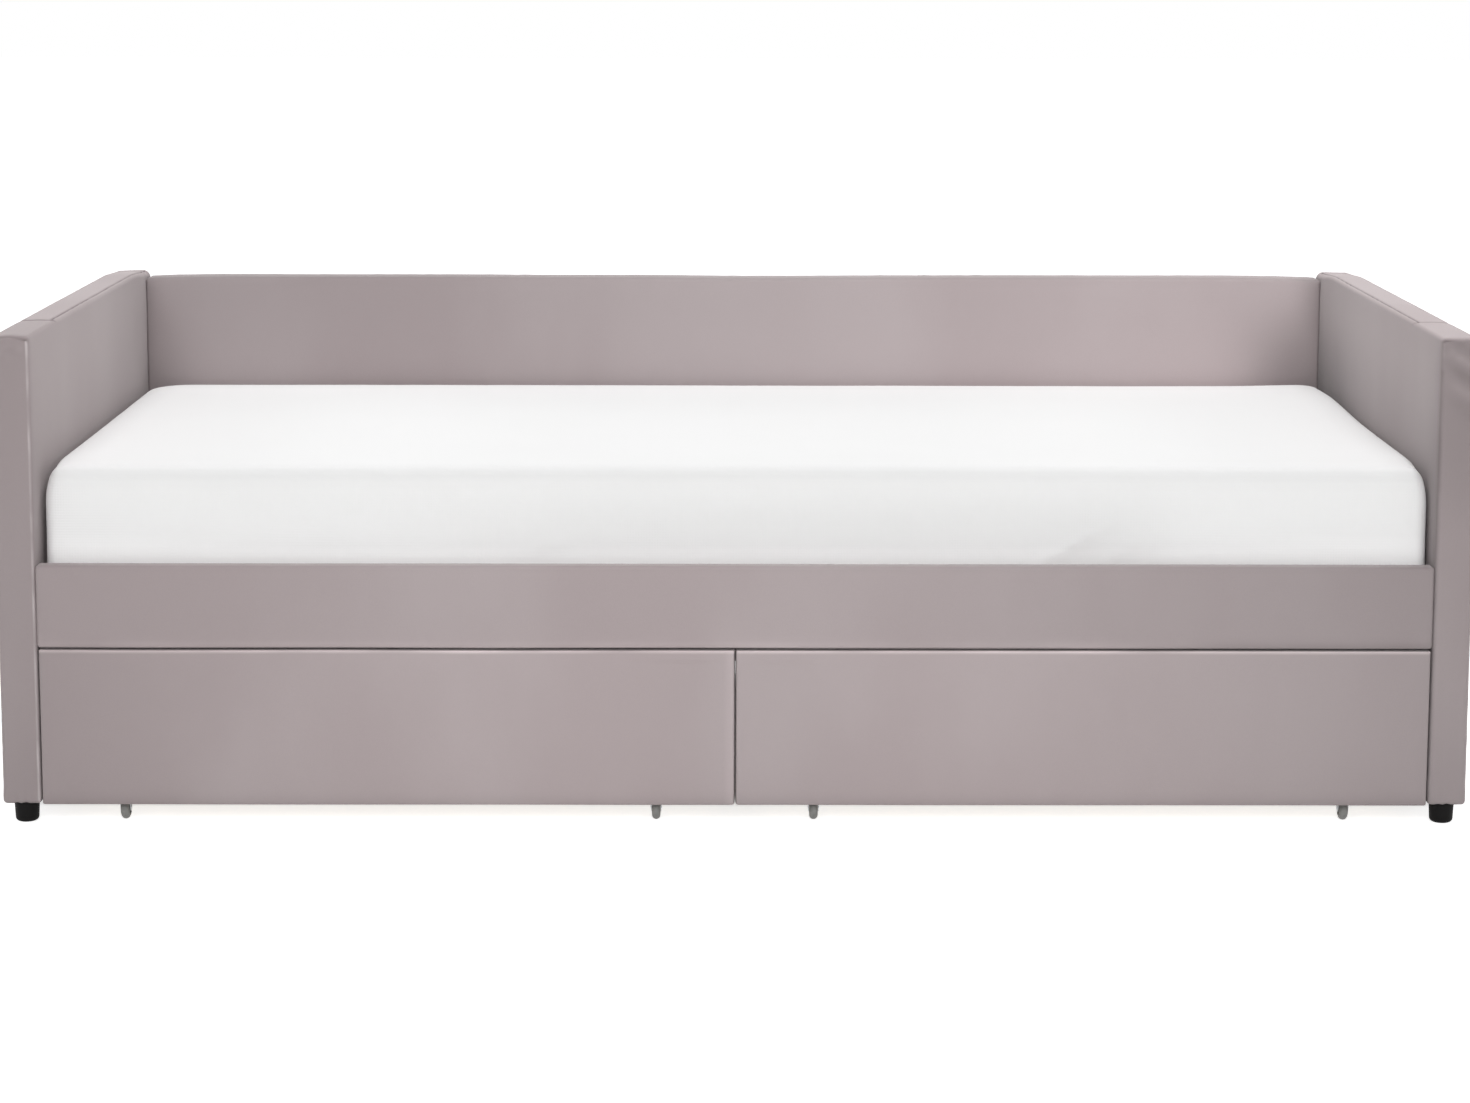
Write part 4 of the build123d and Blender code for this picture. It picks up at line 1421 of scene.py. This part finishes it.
class DAYBED_OT_timber(bpy.types.Operator):
    """Finish the boards, slats, straps, brackets and pins that show as they were packed"""

    bl_idname = "daybed.timber"
    bl_label = "Timber and metal"

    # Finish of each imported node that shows, by the end of its name
    FINISHES = {
        "slat_straps": "webbing",
        "corner_brackets": "zinc_steel",
        "coach_screws": "zinc_steel",
        "castor_brackets": "zinc_steel",
        "axle_pins": "zinc_steel",
        "rail_board": "pine_x",
        "back_frame": "pine_x",
        "slat_ledge": "pine_x",
        "arm_frame": "pine_z",
        "hardboards": "hardboard",
        "drawer_bottom": "plywood_bottom",
        "_side": "plywood_side",
        "box_front": "plywood_cross",
        "drawer_back": "plywood_cross",
        "front_board": "plywood_cross",
    }

    def finish_for(self, node):
        """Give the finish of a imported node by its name."""
        for ending, finish in self.FINISHES.items():
            if node.endswith(ending):
                return finish
        return "pine_y" if node.startswith("slat_") else None

    def execute(self, context):
        arris = context.scene.daybed_timber.arris
        for node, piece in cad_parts.items():
            if piece.hide_render:
                continue
            finish = self.finish_for(node)
            if finish is None:
                raise RuntimeError(f"no finish for {node}")
            piece.data.materials.clear()
            piece.data.materials.append(finish_of(finish))
            if finish.startswith(("pine", "plywood")):
                weld = piece.modifiers.new("Joined corners", "WELD")
                weld.merge_threshold = 0.00001
                edge = piece.modifiers.new("Sanded edges", "BEVEL")
                edge.width = arris * (2.5 if finish == "pine_y" else 1)
                edge.segments = 2
                edge.limit_method = "ANGLE"
                edge.angle_limit = math.radians(40)
                edge.harden_normals = True
        return {"FINISHED"}


class DAYBED_OT_stage(bpy.types.Operator):
    """Lay the floor, light the room and set up the camera"""

    bl_idname = "daybed.stage"
    bl_label = "Stage"

    # Where the camera stands, how far its frame is shifted down, and how far it is turned and rolled
    CAMERA_PLACE = (-0.0202, -5.0577, 1.2798)
    CAMERA_SHIFT = -0.1081
    CAMERA_TURN, CAMERA_ROLL = math.radians(-0.239), math.radians(0.120)

    def room(self, settings):
        """Fill the room with even light, behind which the camera and bright surfaces see white."""
        world = bpy.data.worlds.new("Daybed room")
        world.use_nodes = True
        tree = world.node_tree
        tree.nodes.clear()
        path = add_node(tree, "LightPath").outputs
        seen = path["Is Camera Ray"], path["Is Glossy Ray"], path["Is Transmission Ray"]
        shiny = add_node(tree, "Math", {"operation": "MAXIMUM"}, {0: seen[1], 1: seen[2]}).outputs[0]
        any_seen = add_node(tree, "Math", {"operation": "MAXIMUM"}, {0: seen[0], 1: shiny}).outputs[0]
        light, backdrop = (
            add_node(tree, "Background", inputs={"Color": WHITE, "Strength": strength}).outputs[0]
            for strength in (settings.sky, 1.0)
        )
        mixed = add_node(tree, "MixShader", inputs={0: any_seen, 1: light, 2: backdrop}).outputs[0]
        add_node(tree, "OutputWorld", inputs={"Surface": mixed})
        bpy.context.scene.world = world

    def lamp(self, name, place, target, size, power):
        """Hang a large soft lamp that looks at a target."""
        data = bpy.data.lights.new(name, "AREA")
        data.shape = "RECTANGLE"
        data.size, data.size_y = size
        data.energy = power
        lamp = bpy.data.objects.new(name, data)
        lamp.location = place
        lamp.visible_camera = False
        lamp.rotation_euler = (Vector(target) - Vector(place)).to_track_quat("-Z", "Y").to_euler()
        bpy.context.scene.collection.objects.link(lamp)

    def execute(self, context):
        scene = context.scene
        settings = scene.daybed_stage
        bm = bmesh.new()
        bmesh.ops.create_grid(bm, x_segments=2, y_segments=2, size=settings.floor_size / 2)
        mesh = bpy.data.meshes.new("studio_floor")
        bm.to_mesh(mesh)
        bm.free()
        mesh.materials.append(floor_material(settings))
        floor = bpy.data.objects.new("studio_floor", mesh)
        scene.collection.objects.link(floor)
        self.room(settings)

        # Each lamp by its place, target and size in metres
        self.lamp("key_softbox", (0.0, -4.4, 2.1), (0.0, 0.0, 0.4), (4.6, 1.4), settings.key_power)
        self.lamp("top_softbox", (0.0, 0.15, 3.3), (0.0, 0.15, 0.0), (3.8, 2.6), settings.top_power)
        for hand, side in SIDES.items():
            place = (3.6 * side, 2.4, 1.6)
            self.lamp(f"{hand}_softbox", place, (0.0, 0.2, 0.3), (2.0, 1.6), settings.fill_power)

        data = bpy.data.cameras.new("Camera")
        data.sensor_width = 36.0
        data.lens = settings.lens
        data.shift_y = self.CAMERA_SHIFT
        data.clip_end = 200.0
        camera = bpy.data.objects.new("Camera", data)
        turn = Matrix.Rotation(self.CAMERA_TURN, 4, "Z")
        turn @= Matrix.Rotation(math.radians(90) - settings.tilt, 4, "X")
        turn @= Matrix.Rotation(self.CAMERA_ROLL, 4, "Z")
        camera.matrix_world = Matrix.Translation(self.CAMERA_PLACE) @ turn
        scene.collection.objects.link(camera)
        scene.camera = camera
        scene.view_settings.view_transform = "Standard"
        return {"FINISHED"}


class DAYBED_PT_sidebar(bpy.types.Panel):
    """Sidebar panel that lists the bed's settings and pieces"""

    bl_idname = "DAYBED_PT_sidebar"
    bl_label = "Storage Daybed"
    bl_space_type = "VIEW_3D"
    bl_region_type = "UI"
    bl_category = "Daybed"

    def draw(self, context):
        layout = self.layout
        for name in SETTINGS:
            group = getattr(context.scene, name)
            box = layout.box()
            box.label(text=group.bl_rna.name)
            for setting in group.bl_rna.properties:
                if setting.identifier not in ("rna_type", "name"):
                    box.prop(group, setting.identifier)
        for operator in OPERATORS:
            layout.operator(operator.bl_idname)


SETTINGS = {
    "daybed_velvet": DaybedVelvetSettings,
    "daybed_mattress": DaybedMattressSettings,
    "daybed_fittings": DaybedFittingSettings,
    "daybed_timber": DaybedTimberSettings,
    "daybed_stage": DaybedStageSettings,
}
OPERATORS = (
    DAYBED_OT_arms,
    DAYBED_OT_back,
    DAYBED_OT_rail,
    DAYBED_OT_drawer_fronts,
    DAYBED_OT_mattress,
    DAYBED_OT_wheels,
    DAYBED_OT_feet,
    DAYBED_OT_screws,
    DAYBED_OT_undersides,
    DAYBED_OT_timber,
    DAYBED_OT_stage,
)


def register():
    """Register the settings, operators and panel."""
    for name, group in SETTINGS.items():
        bpy.utils.register_class(group)
        setattr(bpy.types.Scene, name, PointerProperty(type=group))
    for operator in OPERATORS:
        bpy.utils.register_class(operator)
    bpy.utils.register_class(DAYBED_PT_sidebar)


def unregister():
    """Take the panel, operators and settings off again."""
    bpy.utils.unregister_class(DAYBED_PT_sidebar)
    for operator in reversed(OPERATORS):
        bpy.utils.unregister_class(operator)
    for name, group in reversed(SETTINGS.items()):
        delattr(bpy.types.Scene, name)
        bpy.utils.unregister_class(group)


def main():
    """Build every piece in order."""
    register()
    bpy.ops.daybed.stage()
    bpy.ops.daybed.arms()
    bpy.ops.daybed.back()
    bpy.ops.daybed.rail()
    bpy.ops.daybed.drawer_fronts()
    bpy.ops.daybed.mattress()
    bpy.ops.daybed.wheels()
    bpy.ops.daybed.feet()
    bpy.ops.daybed.screws()
    bpy.ops.daybed.undersides()
    bpy.ops.daybed.timber()


if __name__ == "__main__":
    main()
